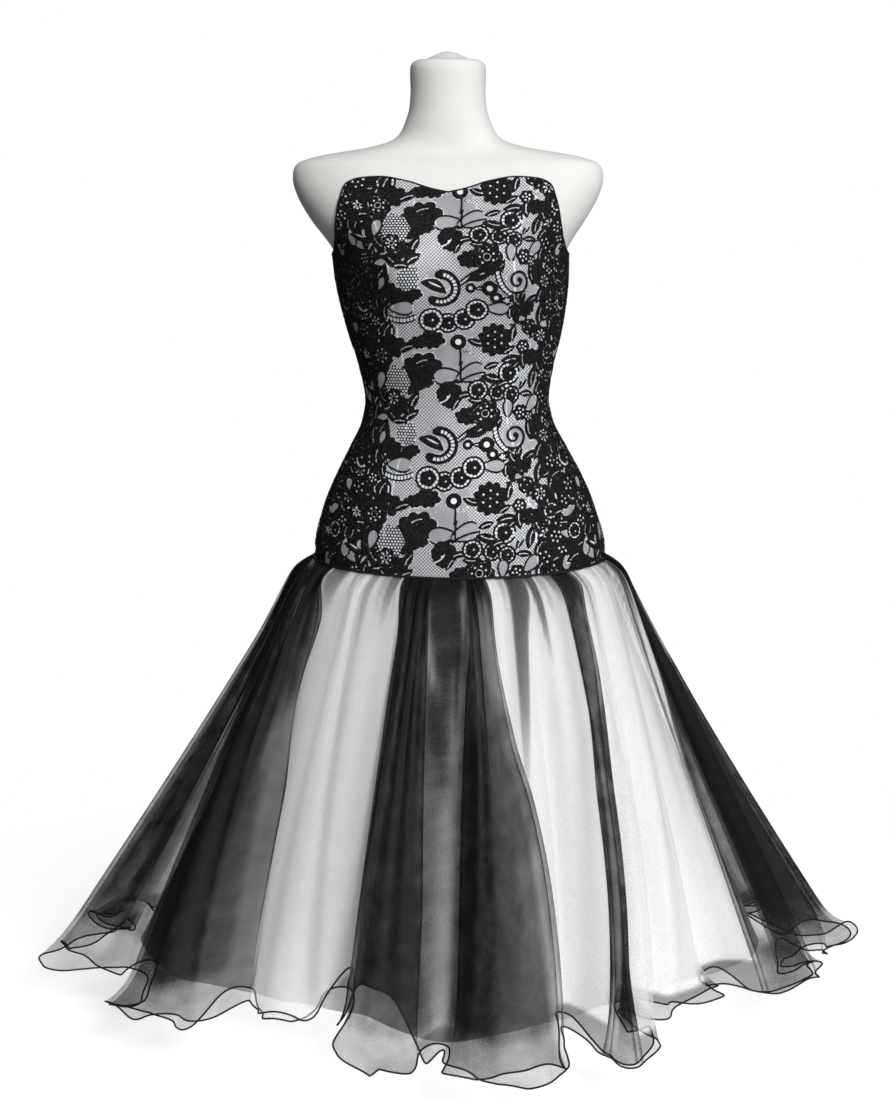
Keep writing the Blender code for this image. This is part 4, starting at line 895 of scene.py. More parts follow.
def hemPoints():
    # each flute gives five points on half an oval, middle + width sin t sideways + depth cos t outward, and
    # its valley one. A point holds its place, its share of the ruffle and its angle in the waist seam
    points, places = [], {}
    for k, flute in enumerate(flutes):
        name, crest, radius, halfWidth, crestLift, crestTop = flute[:6]
        valley, valleyRadius, valleyLift, valleyTop = flute[6:]
        before = flutes[k - 1]
        topBefore = before[9] - (360 if k == 0 else 0)
        outward = roundTheFigure(crest)
        sideways = np.array([-outward[1], outward[0]])
        halfDepth = min(halfWidth, (radius - (before[7] + valleyRadius) / 2) / 2)
        middle = outward * (radius - halfDepth)
        row = (("left_flank", -90, 0.35, 0.45, before[8], topBefore),
               ("left_shoulder", -48, 0.15, 0.90, crestLift, topBefore),
               ("crest", 0, 0.0, 1.0, crestLift, crestTop),
               ("right_shoulder", 48, 0.15, 0.90, crestLift, valleyTop),
               ("right_flank", 90, 0.35, 0.45, valleyLift, valleyTop))
        for place, turn, share, ruffle, lift, beyond in row:
            bend = math.radians(turn)
            at = middle + halfWidth * math.sin(bend) * sideways + halfDepth * math.cos(bend) * outward
            rise = crestLift + 2 * share * share * (lift - crestLift)
            places[name, place] = len(points)
            points.append((*at, skirt["hem"] + rise, ruffle, crestTop + share * (beyond - crestTop)))
        places[name, "valley"] = len(points)
        points.append((*(roundTheFigure(valley) * valleyRadius), skirt["hem"] + valleyLift, 0.0, valleyTop))
    return np.array(points), places


def closedCurve(points, steps):
    # a smooth closed curve through points: cubic pieces, with the length so far at each sample
    ring = np.concatenate([points[-1:], points, points[:2]])
    gap = np.linalg.norm(np.diff(ring[:, :3], axis=0), axis=1)[:, None]
    slope = np.diff(ring, axis=0) / gap
    tangent = (slope[1:] * gap[:-1] + slope[:-1] * gap[1:]) / (gap[1:] + gap[:-1])
    start, end, first, last, gap = (
        part[:, None] for part in (points, ring[2:-1], tangent[:-1], tangent[1:], gap[1:-1]))
    share = (np.arange(steps) / steps)[None, :, None]
    line = cubic(share, gap, start, end, first, last).reshape(-1, points.shape[1])
    line = np.concatenate([line, line[:1]])
    return line, np.concatenate([[0], np.cumsum(np.linalg.norm(np.diff(line[:, :3], axis=0), axis=1))])


curveSteps = 24
hemKnots, hemPlaces = hemPoints()
hemLine, hemLength = closedCurve(hemKnots[:, :4], curveSteps)
hemRound = hemLength[-1]


def seamAngles(length):
    # the angle in the waist seam of each place on the hem, rising all the way round
    knots, angles = hemLength[::curveSteps], np.append(hemKnots[:, 4], hemKnots[0, 4] + 360)
    knots = np.concatenate([knots[:-1] - hemRound, knots, knots[1:] + hemRound])
    angles = np.concatenate([angles[:-1] - 360, angles, angles[1:] + 360])
    return through(length, knots, angles)


hemTopAngle = seamAngles(hemLength)


def goreSpans(gores):
    # (colour, start, end) of each gore along the hem's cloth
    starts = [hemLength[hemPlaces[flute, place] * curveSteps] for _, flute, place in gores]
    ends = starts[1:] + starts[:1]
    return [(g[0], s, e if e > s else e + hemRound) for g, s, e in zip(gores, starts, ends)]


gatherEdges = np.array(sorted({start % hemRound for _, start, _ in goreSpans(innerGores)}))
gatherCounts = np.maximum(1, np.round(
    np.diff(np.append(gatherEdges, gatherEdges[0] + hemRound)) / skirt["gatherSpacing"])).astype(int)


def gatherPhase(along):
    # how many gathers lie before a place on the hem's cloth
    turns = np.floor((along - gatherEdges[0]) / hemRound)
    knots = np.append(gatherEdges, gatherEdges[0] + hemRound)
    counts = np.concatenate([[0], np.cumsum(gatherCounts)])
    return np.interp(along - turns * hemRound, knots, counts) + turns * counts[-1]


gatherAmounts = 0.55 + 0.9 * rng.random(int(gatherCounts.sum()))
# Sines round the skirt: waves, size, phase
rippleTable = list(zip((31, 43, 58, 77, 97), (1.0, 0.9, 0.8, 0.55, 0.4), rng.random(5) * 6.28))


def stepped(phase, amounts):
    # a value that changes evenly from each amount of a closed table to the next
    return np.interp(phase % len(amounts), np.arange(len(amounts) + 1), np.append(amounts, amounts[0]))


def slowWaves(along, shift):
    # a sum of five sines round the skirt, the same after one full turn; shift moves them apart
    return sum(a * np.sin(n * 2 * np.pi * along / hemRound + shift * p) for n, a, p in rippleTable)


def fanned(top, down, hemTurn, hemRadius, hemHeight, more):
    # lines fanned from the seam to the hem: height goes from one to the other by down, turn and radius by
    # share = down ^ flare power, and more is added to the radius
    topTurn = np.degrees(np.arctan2(top[..., 0], -top[..., 1]))
    swing = (hemTurn - topTurn + 180) % 360 - 180
    share = np.sign(down) * np.abs(down) ** skirt["flarePower"]
    radius = np.hypot(top[..., 0], top[..., 1]) * (1 - share) + hemRadius * share + more
    plan = roundTheFigure(topTurn + swing * share) * radius[..., None]
    return np.concatenate([plan, (top[..., 2] * (1 - down) + hemHeight * down)[..., None]], axis=-1)


def plainSkirt(along, down):
    # the fluted cloth, with a puff under the seam, gathers that fade, and slow uneven folds
    along, down = np.broadcast_arrays(np.asarray(along, float), np.asarray(down, float))
    place = along % hemRound
    x, y, z = (np.interp(place, hemLength, hemLine[:, k]) for k in range(3))
    angle = np.interp(place, hemLength, hemTopAngle)
    grown = np.clip(down / skirt["grownBy"], 0, 1)
    phase = gatherPhase(along)
    depth = skirt["gatherAtSeam"] + (skirt["gather"] - skirt["gatherAtSeam"]) * grown
    gather = depth * stepped(phase, gatherAmounts) * np.cos(2 * np.pi * phase)
    gather = gather * np.exp(-np.clip(down, 0, 1) / skirt["gatherFade"])
    fine = skirt["fineGather"] * grown * np.cos(4 * np.pi * phase + 1.4 * slowWaves(along, 1.7))
    fine = fine * np.exp(-down / skirt["fineFade"])
    puff = skirt["puff"] * (1 - np.exp(-down / skirt["puffShare"])) * (1 - down)
    slow = skirt["slowFold"] * slowWaves(along, 1.0) * np.clip(down / skirt["slowBy"], 0, 1)
    top = figureMovedOut(angle, waistSeam(angle) - skirt["topDrop"], skirt["topOut"])
    return fanned(top, down, np.degrees(np.arctan2(x, -y)), np.hypot(x, y), z, gather + fine + puff + slow)


# Flutes whose hem turns out or in more than its waves do: place, half width, bend
hemAims = (
    (0.980, 0.020, 0.55), (1.025, 0.035, -1.20), (1.322, 0.062, 1.45), (1.820, 0.030, 0.70),
    (1.885, 0.055, -0.65), (1.945, 0.030, -1.10), (2.120, 0.034, -0.70), (2.327, 0.026, -0.80),
    (2.355, 0.032, -1.00), (2.539, 0.020, 0.50), (2.821, 0.030, 0.80), (3.046, 0.024, 0.50),
    (3.086, 0.030, -0.75),
)
# Places where the outer cloth is cut higher, or lower with a minus: place, half width, share, power
hemCuts = ((1.70, 0.060, 0.060, 4), (1.848, 0.062, 0.165, 4), (1.06, 0.06, -0.024, 2))
curlCount = int(round(hemRound / skirt["curlSpacing"]))
curlAmounts = 0.50 + 0.75 * rng.random(curlCount)


def curlPhase(along):
    # how many hem waves lie before a place: even steps, bent by three sines so that no two are alike
    turn = 2 * np.pi * along / hemRound
    return (curlCount * along / hemRound + 0.30 * np.sin(5 * turn + 1) + 0.22 * np.sin(11 * turn)
            + 0.16 * np.sin(19 * turn + 2))


def around(along, place):
    # how far a place on the hem's cloth is from another, by the shorter way round
    return (along - place + hemRound / 2) % hemRound - hemRound / 2


def ruffled(along):
    # each flute's share of the ruffle, times the amount of its own hem wave
    return np.interp(along % hemRound, hemLength, hemLine[:, 3]) * stepped(curlPhase(along), curlAmounts)


def hemBend(along):
    # how far the hem turns out at a place, evened over 28 mm so that no wave is tighter than the cloth can be
    total = 0
    for place in (along + step for step in (-0.014, -0.007, 0, 0.007, 0.014)):
        aimed = sum(turn * np.exp(-((around(place, at) / wide) ** 2)) for at, wide, turn in hemAims)
        wave = skirt["curlLean"] + skirt["curlTurn"] * np.cos(2 * np.pi * curlPhase(place))
        total = total + ruffled(place) * (wave + aimed)
    return total / 5


def curledSkirt(along, down):
    # near the hem the cloth bends outward along an arc: for a bend a reached so far,
    # out = width (1 - cos a) / a and rise = width (1 - sin a / a).
    # The bend waves along the hem, and the cloth sways sideways twice as often
    along, down = np.broadcast_arrays(np.asarray(along, float), np.asarray(down, float))
    start, step, line = skirt["curlFrom"], 0.004, along[-1:]
    ahead = unit(plainSkirt(line + step, start) - plainSkirt(line - step, start))
    fall = unit(plainSkirt(line, 1.0) - plainSkirt(line, start))
    u = np.clip((down - start) / (1 - start), 0, 1.25)
    bend = hemBend(line) * u
    safe = np.where(np.abs(bend) < 0.001, 0.001, bend)
    wide = skirt["curlWide"] * u
    sway = skirt["curlSway"] * ruffled(along) * u**2 * np.sin(4 * np.pi * curlPhase(along))
    out, rise = wide * (1 - np.cos(safe)) / safe, wide * (1 - np.sin(safe) / safe)
    points = plainSkirt(along, down) + unit(np.cross(fall, ahead)) * out[..., None]
    return points - fall * rise[..., None] + ahead * sway[..., None]


def hemEnd(along, layer):
    # how far down each layer is cut: two uneven waves, so that the layers' edges cross, and the outer
    # one's own cuts
    turn = 2 * np.pi * along / hemRound
    if layer == "inner":
        return 0.990 + 0.020 * np.cos(27 * turn + 2.6) + 0.008 * np.cos(43 * turn + 4.3)
    cut = sum(share * np.exp(-((around(along, place) / wide) ** power))
              for place, wide, share, power in hemCuts)
    return 1.0 + 0.010 * np.cos(19 * turn + 0.4) + 0.005 * np.cos(37 * turn + 3.1) - cut


def skirtRows():
    # rows closer together at the seam and over the curled hem: each stretch's start, end and number
    stretches = ((0, 0.12, 14), (0.12, 0.8, 36), (0.8, 0.905, 7))
    return np.concatenate([*(np.linspace(*stretch)[:-1] for stretch in stretches), np.linspace(0.905, 1, 17)])


def gridNormals(points):
    # the unit cross of the grid's two slopes
    return unit(np.cross(np.gradient(points, axis=1), np.gradient(points, axis=0)))


def skirtLayer(along, rows, layer):
    # the outer cloth, or the inner one a growing gap inside it, at places along and shares of the cut
    along = np.atleast_2d(along)
    down = rows[:, None] * hemEnd(along[-1:], layer)
    points = curledSkirt(along, down)
    if layer == "outer":
        return points, down
    gap = skirt["gapTop"] + (skirt["gapHem"] - skirt["gapTop"]) * np.sqrt(np.clip(down, 0, 1))
    return points + gridNormals(points) * gap[..., None], down


def creaseTable():
    # creases that run down from the seam: place, lean, length, width and depth, some long and some short.
    # They are not in the cloth's shape; on the black cloth their darker lines are extra plies and painted
    # shade
    count = skirt["creasesAndShade"]
    place = (np.arange(count) + 0.8 * rng.random(count)) * hemRound / count
    length = 0.07 + 1.15 * rng.random(count) ** 2.6
    wide = 0.0045 + 0.011 * rng.random(count)
    lean = rng.normal(0, 0.03, count)
    return np.stack([place, lean, length, wide, 0.25 + 0.75 * rng.random(count)], axis=-1)


creasesAndShade = creaseTable()
# Folds of black cloth caught in the seam, seen through the pale cloth, and painted shade: dark wedges of
# painted shade in the pale cloth's creases under the seam, and long faint bands of painted shade down its
# sides. Place, lean, length, width, depth
dartsAndShade = (
    (2.222, -0.13, 0.50, 0.024, 0.92), (2.258, 0.02, 0.20, 0.014, 0.85), (2.302, 0.00, 0.07, 0.015, 0.60),
    (2.186, -0.10, 0.08, 0.010, 0.40), (2.206, -0.06, 0.05, 0.007, 0.45), (2.280, 0.03, 0.11, 0.007, 0.45),
    (1.517, 0.05, 0.10, 0.013, 0.60), (1.545, 0.03, 0.07, 0.008, 0.40), (1.575, 0.02, 0.12, 0.006, 0.35),
    (1.598, 0.02, 0.06, 0.010, 0.30), (1.631, 0.00, 0.22, 0.009, 0.50), (1.652, -0.02, 0.10, 0.007, 0.40),
    (1.668, -0.05, 0.13, 0.012, 0.60), (2.440, 0.00, 0.28, 0.014, 0.60), (2.462, 0.02, 0.12, 0.007, 0.40),
    (2.480, -0.03, 0.09, 0.009, 0.45), (2.520, -0.02, 0.06, 0.009, 0.35), (2.556, 0.02, 0.14, 0.006, 0.35),
    (2.590, 0.04, 0.09, 0.010, 0.40), (2.645, 0.10, 0.24, 0.009, 0.50), (2.668, 0.06, 0.12, 0.007, 0.50),
    (2.695, 0.02, 0.36, 0.010, 0.60), (2.719, 0.01, 0.76, 0.012, 0.85), (2.738, -0.03, 0.26, 0.010, 0.70),
    (2.655, 0.12, 0.56, 0.005, 0.50), (2.455, 0.02, 1.60, 0.030, 0.10), (2.590, 0.00, 1.60, 0.056, 0.22),
    (1.650, 0.02, 1.80, 0.026, 0.07), (3.300, 0.03, 0.30, 0.020, 0.60), (3.390, -0.05, 0.16, 0.014, 0.50),
    (3.780, 0.02, 0.34, 0.020, 0.70), (3.870, -0.06, 0.14, 0.014, 0.40), (0.230, 0.04, 0.26, 0.018, 0.60),
    (0.320, -0.03, 0.15, 0.014, 0.50), (0.700, 0.05, 0.30, 0.020, 0.60), (0.790, -0.04, 0.18, 0.013, 0.40),
    (0.850, 0.02, 0.40, 0.014, 0.60),
)
# Places where the cloth lies double: place, lean, the shares down where it starts and ends, its half width
# at each, how many plies it adds, and how soft its edges are
laps = (
    (1.752, -0.01, 0.00, 0.86, 0.046, 0.030, 2.4, 0.010),
    (1.862, 0.00, 0.02, 0.93, 0.040, 0.056, 1.6, 0.016),
    (1.962, -0.71, 0.02, 0.27, 0.010, 0.004, 2.4, 0.003),
    (1.951, 0.00, -0.02, 0.46, 0.022, 0.004, 2.2, 0.003),
    (1.930, 0.00, -0.02, 0.20, 0.012, 0.004, 1.2, 0.003),
    (1.998, 0.00, 0.00, 0.22, 0.012, 0.004, 1.8, 0.004),
    (2.010, 0.00, 0.30, 1.00, 0.034, 0.040, 1.6, 0.018),
    (1.860, 0.08, 0.30, 0.90, 0.004, 0.008, 0.9, 0.004),
    (2.304, -0.01, 0.05, 1.02, 0.006, 0.005, 4.0, 0.003),
    (2.326, 0.00, 0.30, 0.98, 0.008, 0.014, 2.2, 0.004),
    (1.380, 0.01, 0.00, 0.98, 0.030, 0.034, 3.4, 0.010),
    (1.290, -0.02, 0.10, 0.90, 0.010, 0.016, 0.9, 0.006),
    (1.195, -0.03, 0.15, 0.95, 0.005, 0.007, 1.6, 0.003),
    (1.105, -0.02, 0.05, 0.98, 0.006, 0.008, 1.7, 0.003),
    (1.015, 0.00, 0.10, 0.98, 0.008, 0.010, 1.4, 0.004),
    (2.765, 0.01, 0.05, 0.50, 0.010, 0.004, 0.9, 0.004),
    (2.890, 0.05, 0.00, 0.98, 0.020, 0.030, 1.6, 0.008),
    (2.960, 0.02, 0.10, 0.98, 0.014, 0.026, 1.5, 0.005),
    (3.010, 0.02, 0.20, 0.99, 0.006, 0.024, 5.0, 0.004),
    (3.080, 0.00, 0.25, 0.95, 0.012, 0.022, 2.2, 0.006),
    (2.778, 0.00, 0.88, 1.02, 0.030, 0.034, 2.0, 0.010),
    (3.150, 0.00, 0.05, 0.98, 0.012, 0.016, 1.2, 0.006),
    (3.560, 0.00, 0.00, 0.90, 0.022, 0.030, 1.3, 0.008),
    (3.990, 0.02, 0.00, 0.96, 0.020, 0.034, 1.2, 0.010),
    (0.080, -0.02, 0.10, 0.95, 0.012, 0.030, 1.0, 0.008),
    (0.460, 0.02, 0.00, 0.95, 0.018, 0.028, 1.2, 0.008),
    (0.945, 0.00, 0.10, 0.95, 0.022, 0.028, 2.0, 0.006),
)
# Places where the cloth parts and shows the white behind, as the laps but with the plies left of each layer.
# Those from 2.094 to 2.150, right of the front's middle, are a painted sheen on the black cloth
partingsAndSheen = (
    (1.925, 0.08, 0.005, 0.30, 0.009, 0.002, 0.70, 0.004),
    (1.956, 0.00, 0.17, 0.50, 0.0025, 0.0045, 1.70, 0.003),
    (1.953, 0.00, 0.46, 1.02, 0.004, 0.012, 1.15, 0.004),
    (1.974, -0.02, 0.015, 0.13, 0.007, 0.002, 0.80, 0.004),
    (2.094, 0.10, 0.01, 0.34, 0.034, 0.030, 1.00, 0.014),
    (2.100, 0.05, 0.30, 1.02, 0.040, 0.030, 1.45, 0.020),
    (2.150, 0.01, 0.55, 1.02, 0.012, 0.024, 0.80, 0.010),
    (2.312, 0.00, 0.40, 1.02, 0.004, 0.004, 1.50, 0.003),
    (1.462, 0.01, 0.06, 0.52, 0.006, 0.014, 0.70, 0.003),
    (1.498, 0.00, 0.30, 0.98, 0.024, 0.030, 0.70, 0.010),
    (1.240, 0.02, 0.35, 0.95, 0.008, 0.018, 0.90, 0.006),
    (1.150, 0.03, 0.30, 0.93, 0.008, 0.014, 0.95, 0.006),
    (1.085, 0.00, 0.68, 1.02, 0.012, 0.036, 0.65, 0.008),
    (2.752, 0.01, 0.42, 0.93, 0.008, 0.050, 0.50, 0.008),
    (3.660, 0.00, 0.30, 1.00, 0.010, 0.022, 0.80, 0.008),
    (0.560, -0.02, 0.30, 1.00, 0.010, 0.020, 0.80, 0.008),
)
# Seams that sway on the cloth: place at the waist, then shares of the way down and the sideways move at each
seamSway = (
    (1.501, (0, 0.12, 0.31, 0.54, 0.77, 1), (0, 0.019, 0.011, 0.022, 0.019, 0.003)),
    (1.680, (0, 0.05, 0.17, 0.35, 0.49, 0.77, 1), (0.006, 0.016, 0.042, 0.036, 0.040, 0.036, 0.042)),
    (1.937, (0, 0.27, 0.68, 0.88, 1), (0.004, 0.007, 0.007, 0.000, -0.010)),
    (1.984, (0, 0.10, 0.27, 0.59, 0.88, 1), (0, -0.006, -0.019, -0.024, -0.020, -0.016)),
    (2.153, (0, 0.17, 0.35, 0.49, 0.71, 1), (-0.006, -0.017, -0.005, 0.019, 0.038, 0.050)),
    (2.307, (0, 0.28, 0.50, 0.71, 1), (0, -0.004, -0.013, -0.011, -0.010)),
    (2.392, (0, 0.10, 0.28, 0.50, 0.80, 1), (0, -0.024, -0.056, -0.068, -0.066, -0.045)),
    (2.751, (0, 0.25, 0.50, 0.85, 1), (0, -0.006, -0.022, -0.018, -0.014)),
)
# What the plies and folds do to the organza's cover, with painted shade along creases and darts and a painted
# sheen in some partings; the centre is the front's middle, and the border is the pale gores' sheer dark edge
# above the hem
organzaLook = {
    "ply": 0.40, "body": 1.35, "centre": 2.0, "centreFrom": (1.60, 1.70), "centreTo": (2.42, 2.52),
    "gathered": 0.45, "gatherFade": 0.10, "edgeOn": 0.40, "edgePower": 1.3, "uncreased": 0.88,
    "creased": 0.50, "uneven": 0.04, "least": 0.3, "most": 7, "hemFrom": 0.905, "hemThin": 0.42,
    "hemSoft": 0.035, "seamPlies": 3.0, "seamWide": 0.0022, "paleCover": 0.30, "paleUncreased": 0.90,
    "paleCreased": 0.30, "dartShadeCover": 0.82, "dartShadePower": 8, "dartShadeDark": 1.6, "borderCover": 0.42,
    "borderFrom": 0.945, "borderSoft": 0.012, "unbordered": 1.565, "unborderedWide": (0.075, 0.105),
}


def seamLine(place, down):
    # where a seam lies on the cloth at each share of the way down
    for at, shares, moves in seamSway:
        if abs(around(place, at)) < 0.004:
            return place + through(down, np.array(shares, float), np.array(moves, float))
    return place + 0 * down


def wedges(along, down, table, power=2):
    # each fold is depth times exp(-(distance / width) ^ power), and it narrows and fades to its lower end
    total = np.zeros_like(along)
    for place, lean, length, wide, depth in table:
        left = np.clip(1 - down / length, 0, 1)
        away = around(along, place + lean * down) / (wide * (0.25 + 0.75 * left))
        near = np.exp(-np.clip(np.abs(away) ** power, 0, 30))
        total = np.maximum(total, depth * np.sqrt(left) * near)
    return total


def bands(along, down, table):
    # each band's plies, and how far a place is inside it; its half width runs evenly from end to end
    for place, lean, low, high, wideLow, wideHigh, plies, soft in table:
        share = np.clip((down - low) / (high - low), 0, 1)
        inside = wideLow + (wideHigh - wideLow) * share - np.abs(around(along, place + lean * down))
        fade = 0.3 * (high - low)
        yield plies, smooth(inside, -soft, soft) * smooth(down, low - 0.01, low + min(0.05, fade)) * (
            1 - smooth(down, high - min(0.10, fade), high + 0.02))


def clothPlies(points, along, down, layer):
    # how many plies lie over a place: more under the seam, in the creases and laps, at the gore's own
    # seams, and where the cloth runs straight in from the outside, by one less its normal's part along the
    # radius; fewer where the curled hem hangs free and in the partings. The creases' darker lines are partly
    # painted shade, and some partings paint a sheen on the black cloth
    look, place = organzaLook, along % hemRound
    edgeOn = 1 - np.abs((gridNormals(points) * unit(points * np.array([1, 1, 0]))).sum(-1))
    middle = smooth(place, *look["centreFrom"]) * (1 - smooth(place, *look["centreTo"]))
    base = look["body"] + (look["centre"] - look["body"]) * middle
    gathered = np.exp(-down / look["gatherFade"]) * (0.5 - 0.5 * np.cos(2 * np.pi * gatherPhase(along)))
    base = base * (1 + look["gathered"] * gathered) * (1 + look["edgeOn"] * edgeOn ** look["edgePower"])
    # the creases: more plies, and painted shade along folds that the cloth's shape lacks
    base = base * (look["uncreased"] + look["creased"] * wedges(along, down, creasesAndShade))
    base = base * (1 + look["uneven"] * slowWaves(along, 2.1))
    if layer == "outer":
        base = base + sum(plies * inside for plies, inside in bands(along, down, laps))
    # partings thin the cloth; those right of the front's middle paint a sheen on the black cloth
    for plies, inside in bands(along, down, partingsAndSheen):
        base = base + (np.minimum(plies, base) - base) * inside
    hanging = smooth(down, look["hemFrom"], look["hemFrom"] + look["hemSoft"])
    edge = np.minimum(along - along[:, :1], along[:, -1:] - along)
    base = np.clip(base, look["least"], look["most"]) * (1 - look["hemThin"] * hanging)
    return base + look["seamPlies"] * np.exp(-((edge / look["seamWide"]) ** 2))


def hemBorder(along, down):
    # 1 where the border lies, from an uneven line downwards, except over most of the left front gore
    look, turn = organzaLook, 2 * np.pi * along / hemRound
    line = look["borderFrom"] + 0.010 * np.cos(9 * turn + 1.0) + 0.006 * np.cos(17 * turn)
    line = line + 0.10 * (1 - smooth(np.abs(around(along, look["unbordered"])), *look["unborderedWide"]))
    return smooth(down, line, line + look["borderSoft"])


def clothValues(grid, along, down, layer, colour):
    # fold is the cover that the plies make, 1 - (1 - one ply's cover) ^ plies, as a share of the finish's own
    look = organzaLook
    if colour == "black":
        cover = 1 - (1 - look["ply"]) ** clothPlies(grid, along, down, layer)
        return {"fold": cover / look["ply"], "dyeAndShade": 0 * cover}
    # the darts darken the pale cloth: dyed black folds, and painted shade in its creases and down its sides
    shade = wedges(along, down, dartsAndShade, look["dartShadePower"]) if layer == "outer" else 0 * along
    creased = look["paleCover"] * (look["paleUncreased"] + look["paleCreased"] * wedges(along, down, creasesAndShade))
    border = hemBorder(along, down)
    cover = creased + (look["dartShadeCover"] - creased) * shade
    cover = cover + (look["borderCover"] - cover) * border
    dyeAndShade = np.maximum(np.clip(look["dartShadeDark"] * shade, 0, 1), border)
    return {"fold": cover / look["paleCover"], "dyeAndShade": dyeAndShade}


def makeGores():
    # one column more at each side gives the normals there, and is cut off again
    rows = skirtRows()
    for layer, gores in (("outer", outerGores), ("inner", innerGores)):
        for number, (colour, *seams) in enumerate(goreSpans(gores), 1):
            shift = 0 if layer == "outer" else skirt["seamShift"] * (1 if colour == "black" else -1)
            start, end = seams[0] + shift, seams[1] - shift
            columns = max(4, int(round((end - start) / skirt["columnStep"])))
            share = np.arange(-1, columns + 2) / columns
            left, right = (seamLine(seam, rows) + place - seam for seam, place in zip(seams, (start, end)))
            along = left[:, None] * (1 - share) + right[:, None] * share
            grid, down, along = (part[:, 1:-1] for part in (*skirtLayer(along, rows, layer), along))
            name = f"{layer}_gore_{number:02d}_{colour}"
            values = clothValues(grid, along, down, layer, colour)
            uv = np.stack([along - start, skirt["flatLength"] * down], axis=-1)
            piece, cut, area = addSheet(name + "_cloth", grid, finish[colour + "Organza"], name,
                                        colour + "_organza", flip=True, values=values, uv=uv)
    along = np.linspace(0, hemRound, int(hemRound / skirt["wireStep"]), endpoint=False)
    along = np.concatenate([[along[0] - 0.002], along, [along[-1] + 0.002]])
    for layer in ("outer", "inner"):
        line = skirtLayer(along, np.array([0.996, 1.0]), layer)[0][1, 1:-1]
        finishPiece(addTube(layer + "_hem_edge", line, skirt["hemWire"], finish["hemThread"],
                            sides=skirt["wireSides"], closed=True))


makeGores()
print("the organza gores are made")

# The underskirt: three plain panels inside the organza
underskirt = {
    "hem": 0.070, "out": 0.0020, "insideFolds": 0.030, "rows": 70, "step": 1.0, "seamGap": 0.0003,
    "flatRadius": 0.35, "flatLength": 0.6,
    "panels": {"front": (-80, 80), "back_left": (-180, -80), "back_right": (80, 180)},
}


def underskirtSurface(angle, down):
    # radius from the seam's to a smooth curve just inside the organza's valleys, with faint soft folds
    angle, down = np.broadcast_arrays(angle, down)
    knots = np.array([flute[6] for flute in flutes], float)
    radii = np.array([flute[7] for flute in flutes]) - underskirt["insideFolds"]
    knots = np.concatenate([knots - 360, knots, knots + 360])
    radius = through((angle + 180) % 360 - 180, knots, np.tile(radii, 3))
    top = figureMovedOut(angle, waistSeam(angle) - underskirt["seamGap"], underskirt["out"])
    fold = (0.0022 * np.sin(np.radians(17 * angle) + 1.2)
            + 0.0014 * np.sin(np.radians(29 * angle) + 0.4 + down))
    return fanned(top, down, angle, radius, underskirt["hem"], fold * np.clip(down / skirt["slowBy"], 0, 1))


def makeUnderskirt():
    # each panel's surface, mapped flat by a radius times its angle, and by its length
    for panel, (start, end) in underskirt["panels"].items():
        name = "underskirt_" + panel
        angle = np.linspace(start, end, int((end - start) / underskirt["step"]) + 1)[None, :]
        down = np.linspace(0, 1, underskirt["rows"])[:, None]
        x = np.radians(angle - start) * underskirt["flatRadius"]
        uv = np.stack(np.broadcast_arrays(x, underskirt["flatLength"] * down), axis=-1)
        grid = underskirtSurface(angle, down)
        piece, cut, area = addSheet(name + "_cloth", grid, finish["liningSatin"], name, "white_satin",
                                    flip=True, uv=uv)


makeUnderskirt()
print("the underskirt is made")

# Trimmings: the bound neckline and the bodice's lower edge
trim = {
    "start": 179.2, "steps": 720, "neckRadius": 0.0011, "neckSink": 0.0006, "waistRadius": 0.0021,
    "waistDrop": 0.0004,
}


def makeTrim():
    # tubes along the neckline and the waist seam, each a set way out from the figure
    angle = np.linspace(-trim["start"], trim["start"], trim["steps"])
    lines = (("neckline_edge", neckline(angle), laceOut - trim["neckSink"], trim["neckRadius"]),
             ("bodice_lower_edge", waistSeam(angle) - trim["waistDrop"], (laceOut + skirt["topOut"]) / 2,
              trim["waistRadius"]))
    for name, height, out, radius in lines:
        line = figureMovedOut(angle, height, out)
        finishPiece(addTube(name, line, radius, finish["hemThread"]))


makeTrim()
print("the edges are made")

# The back zip's teeth: pitch, size, where they start and end, and how they stand to each other and to the
# tape
zipTeeth = {
    "pitch": 0.0021, "size": (0.0021, 0.0009, 0.0012), "aboveSeam": 0.006, "belowEdge": 0.004, "out": 0.0013,
    "apart": 0.0008, "stagger": 0.0005,
    "profile": ((-0.5, 0), (-0.5, 0.7), (-0.3, 1), (0.3, 1), (0.5, 0.7), (0.5, 0)),
}


def makeZip():
    # pairs of small teeth up the middle of the back, each a low bevelled block, on the zip's own tape
    heights = np.arange(float(waistSeam(180.0)) + zipTeeth["aboveSeam"],
                        float(neckline(180.0)) - zipTeeth["belowEdge"], zipTeeth["pitch"])
    middle = figureMovedOut(180, heights, laceOut + zipTeeth["out"])
    lean = through(heights, figureRows[:, 0], figureRows[:, 4])
    shape = np.array([(x, y, z) for z in (-0.5, 0.5) for x, y in zipTeeth["profile"]])
    blocks = []
    for side in (-1, 1):
        height = heights + (zipTeeth["stagger"] if side > 0 else 0)
        at = np.stack([lean + side * zipTeeth["apart"], middle[:, 1], height], axis=-1)
        blocks.append(at[:, None] + shape[None] * np.array(zipTeeth["size"]))
    points = np.concatenate(blocks).reshape(-1, 6, 3)
    lower = np.arange(0, len(points), 2)[:, None] * 6
    ring = np.arange(6)
    sides = np.stack([ring, np.roll(ring, -1), np.roll(ring, -1) + 6, ring + 6], axis=-1)
    ends = np.array([(5, 4, 1, 0), (4, 3, 2, 1), (6, 7, 10, 11), (7, 8, 9, 10)])
    faces = (lower[:, :, None] + np.concatenate([sides[:, ::-1], ends])[None]).reshape(-1, 4)
    finishPiece(addMesh("zip_teeth", points, faces, finish["zipMetal"], smooth=False))


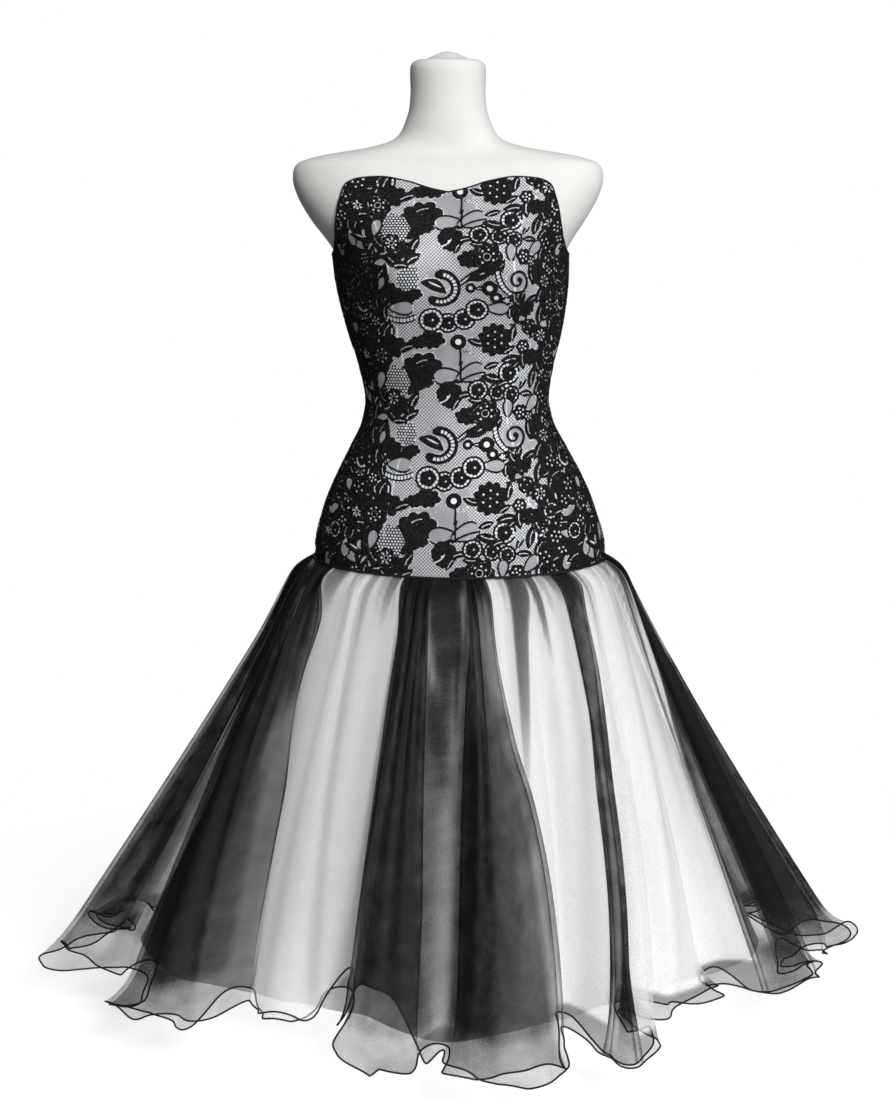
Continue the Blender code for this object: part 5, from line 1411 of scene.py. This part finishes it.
makeZip()
coverNodes(finish["zipTape"], "back_zip")
coverNodes(finish["zipMetal"], "zip_slider", "zip_pull")
print("the zip is made")

# The floor, the lights and the white studio round them. Each light: place, height of its aim, size, power
studio = {
    "floor": 1.6, "rings": 24, "spokes": 96, "floorGlow": 0.58, "world": 0.060, "sheerDepth": 24,
    "lights": {
        "keyLight": ((1.9, -4.5, 3.2), 0.8, 2.2, 276.0),
        "sideLight": ((3.2, -1.8, 0.9), 0.9, 1.6, 32.0),
        "topLight": ((-0.7, -0.5, 3.4), 0.8, 1.8, 17.0),
    },
}


def makeFloor():
    # a disc that fades from 0.3 m to 1.1 m from the middle
    ring = np.concatenate([[0.001], np.linspace(0.05, studio["floor"], studio["rings"])])[:, None]
    turn = np.linspace(0, 2 * np.pi, studio["spokes"], endpoint=False)[None, :]
    points = np.stack([ring * np.cos(turn), ring * np.sin(turn), -0.0005 + 0 * ring * turn], axis=-1)
    material, tree, shader, place = newMaterial("paleFloor", {
        "Base Color": (0.86, 0.86, 0.86, 1), "Roughness": 0.9, "Specular IOR Level": 0.1,
        "Emission Color": (1, 1, 1, 1), "Emission Strength": studio["floorGlow"]}, "Object")
    away = addNode(tree, "ShaderNodeVectorMath", {0: place}, operation="LENGTH").outputs["Value"]
    fade = ranged(tree, away, (0.30, 1.10), (1.0, 0.0), interpolation_type="SMOOTHSTEP")
    tree.links.new(fade, shader["Alpha"])
    addMesh("floor", points, gridFaces(*points.shape[:2], closed=True), material)


def makeWorld():
    # white to the camera, and faint as a light
    world = bpy.data.worlds.new("studio")
    world.use_nodes = True
    tree = world.node_tree
    sky = tree.nodes["Background"].inputs
    sky["Color"].default_value = (1, 1, 1, 1)
    seen = addNode(tree, "ShaderNodeLightPath").outputs["Is Camera Ray"]
    tree.links.new(ranged(tree, seen, (0.0, 1.0), (studio["world"], 1.0)), sky["Strength"])
    bpy.context.scene.world = world


def makeLights():
    # round lamps, each turned from its place to its aim height on the upright axis
    for name, (place, aimHeight, size, power) in studio["lights"].items():
        lamp = bpy.data.lights.new(name, "AREA")
        lamp.shape, lamp.size, lamp.energy = "DISK", size, power
        light = bpy.data.objects.new(name, lamp)
        ahead = np.array([0, 0, aimHeight]) - np.array(place)
        tilt, spin = math.acos(-ahead[2] / np.linalg.norm(ahead)), math.atan2(ahead[0], -ahead[1])
        light.location, light.rotation_euler = place, (tilt, 0, spin + math.pi)
        bpy.context.scene.collection.objects.link(light)


makeFloor()
makeWorld()
makeLights()
bpy.context.scene.view_settings.view_transform = "Standard"
bpy.context.scene.cycles.transparent_max_bounces = studio["sheerDepth"]
print("the studio is made")
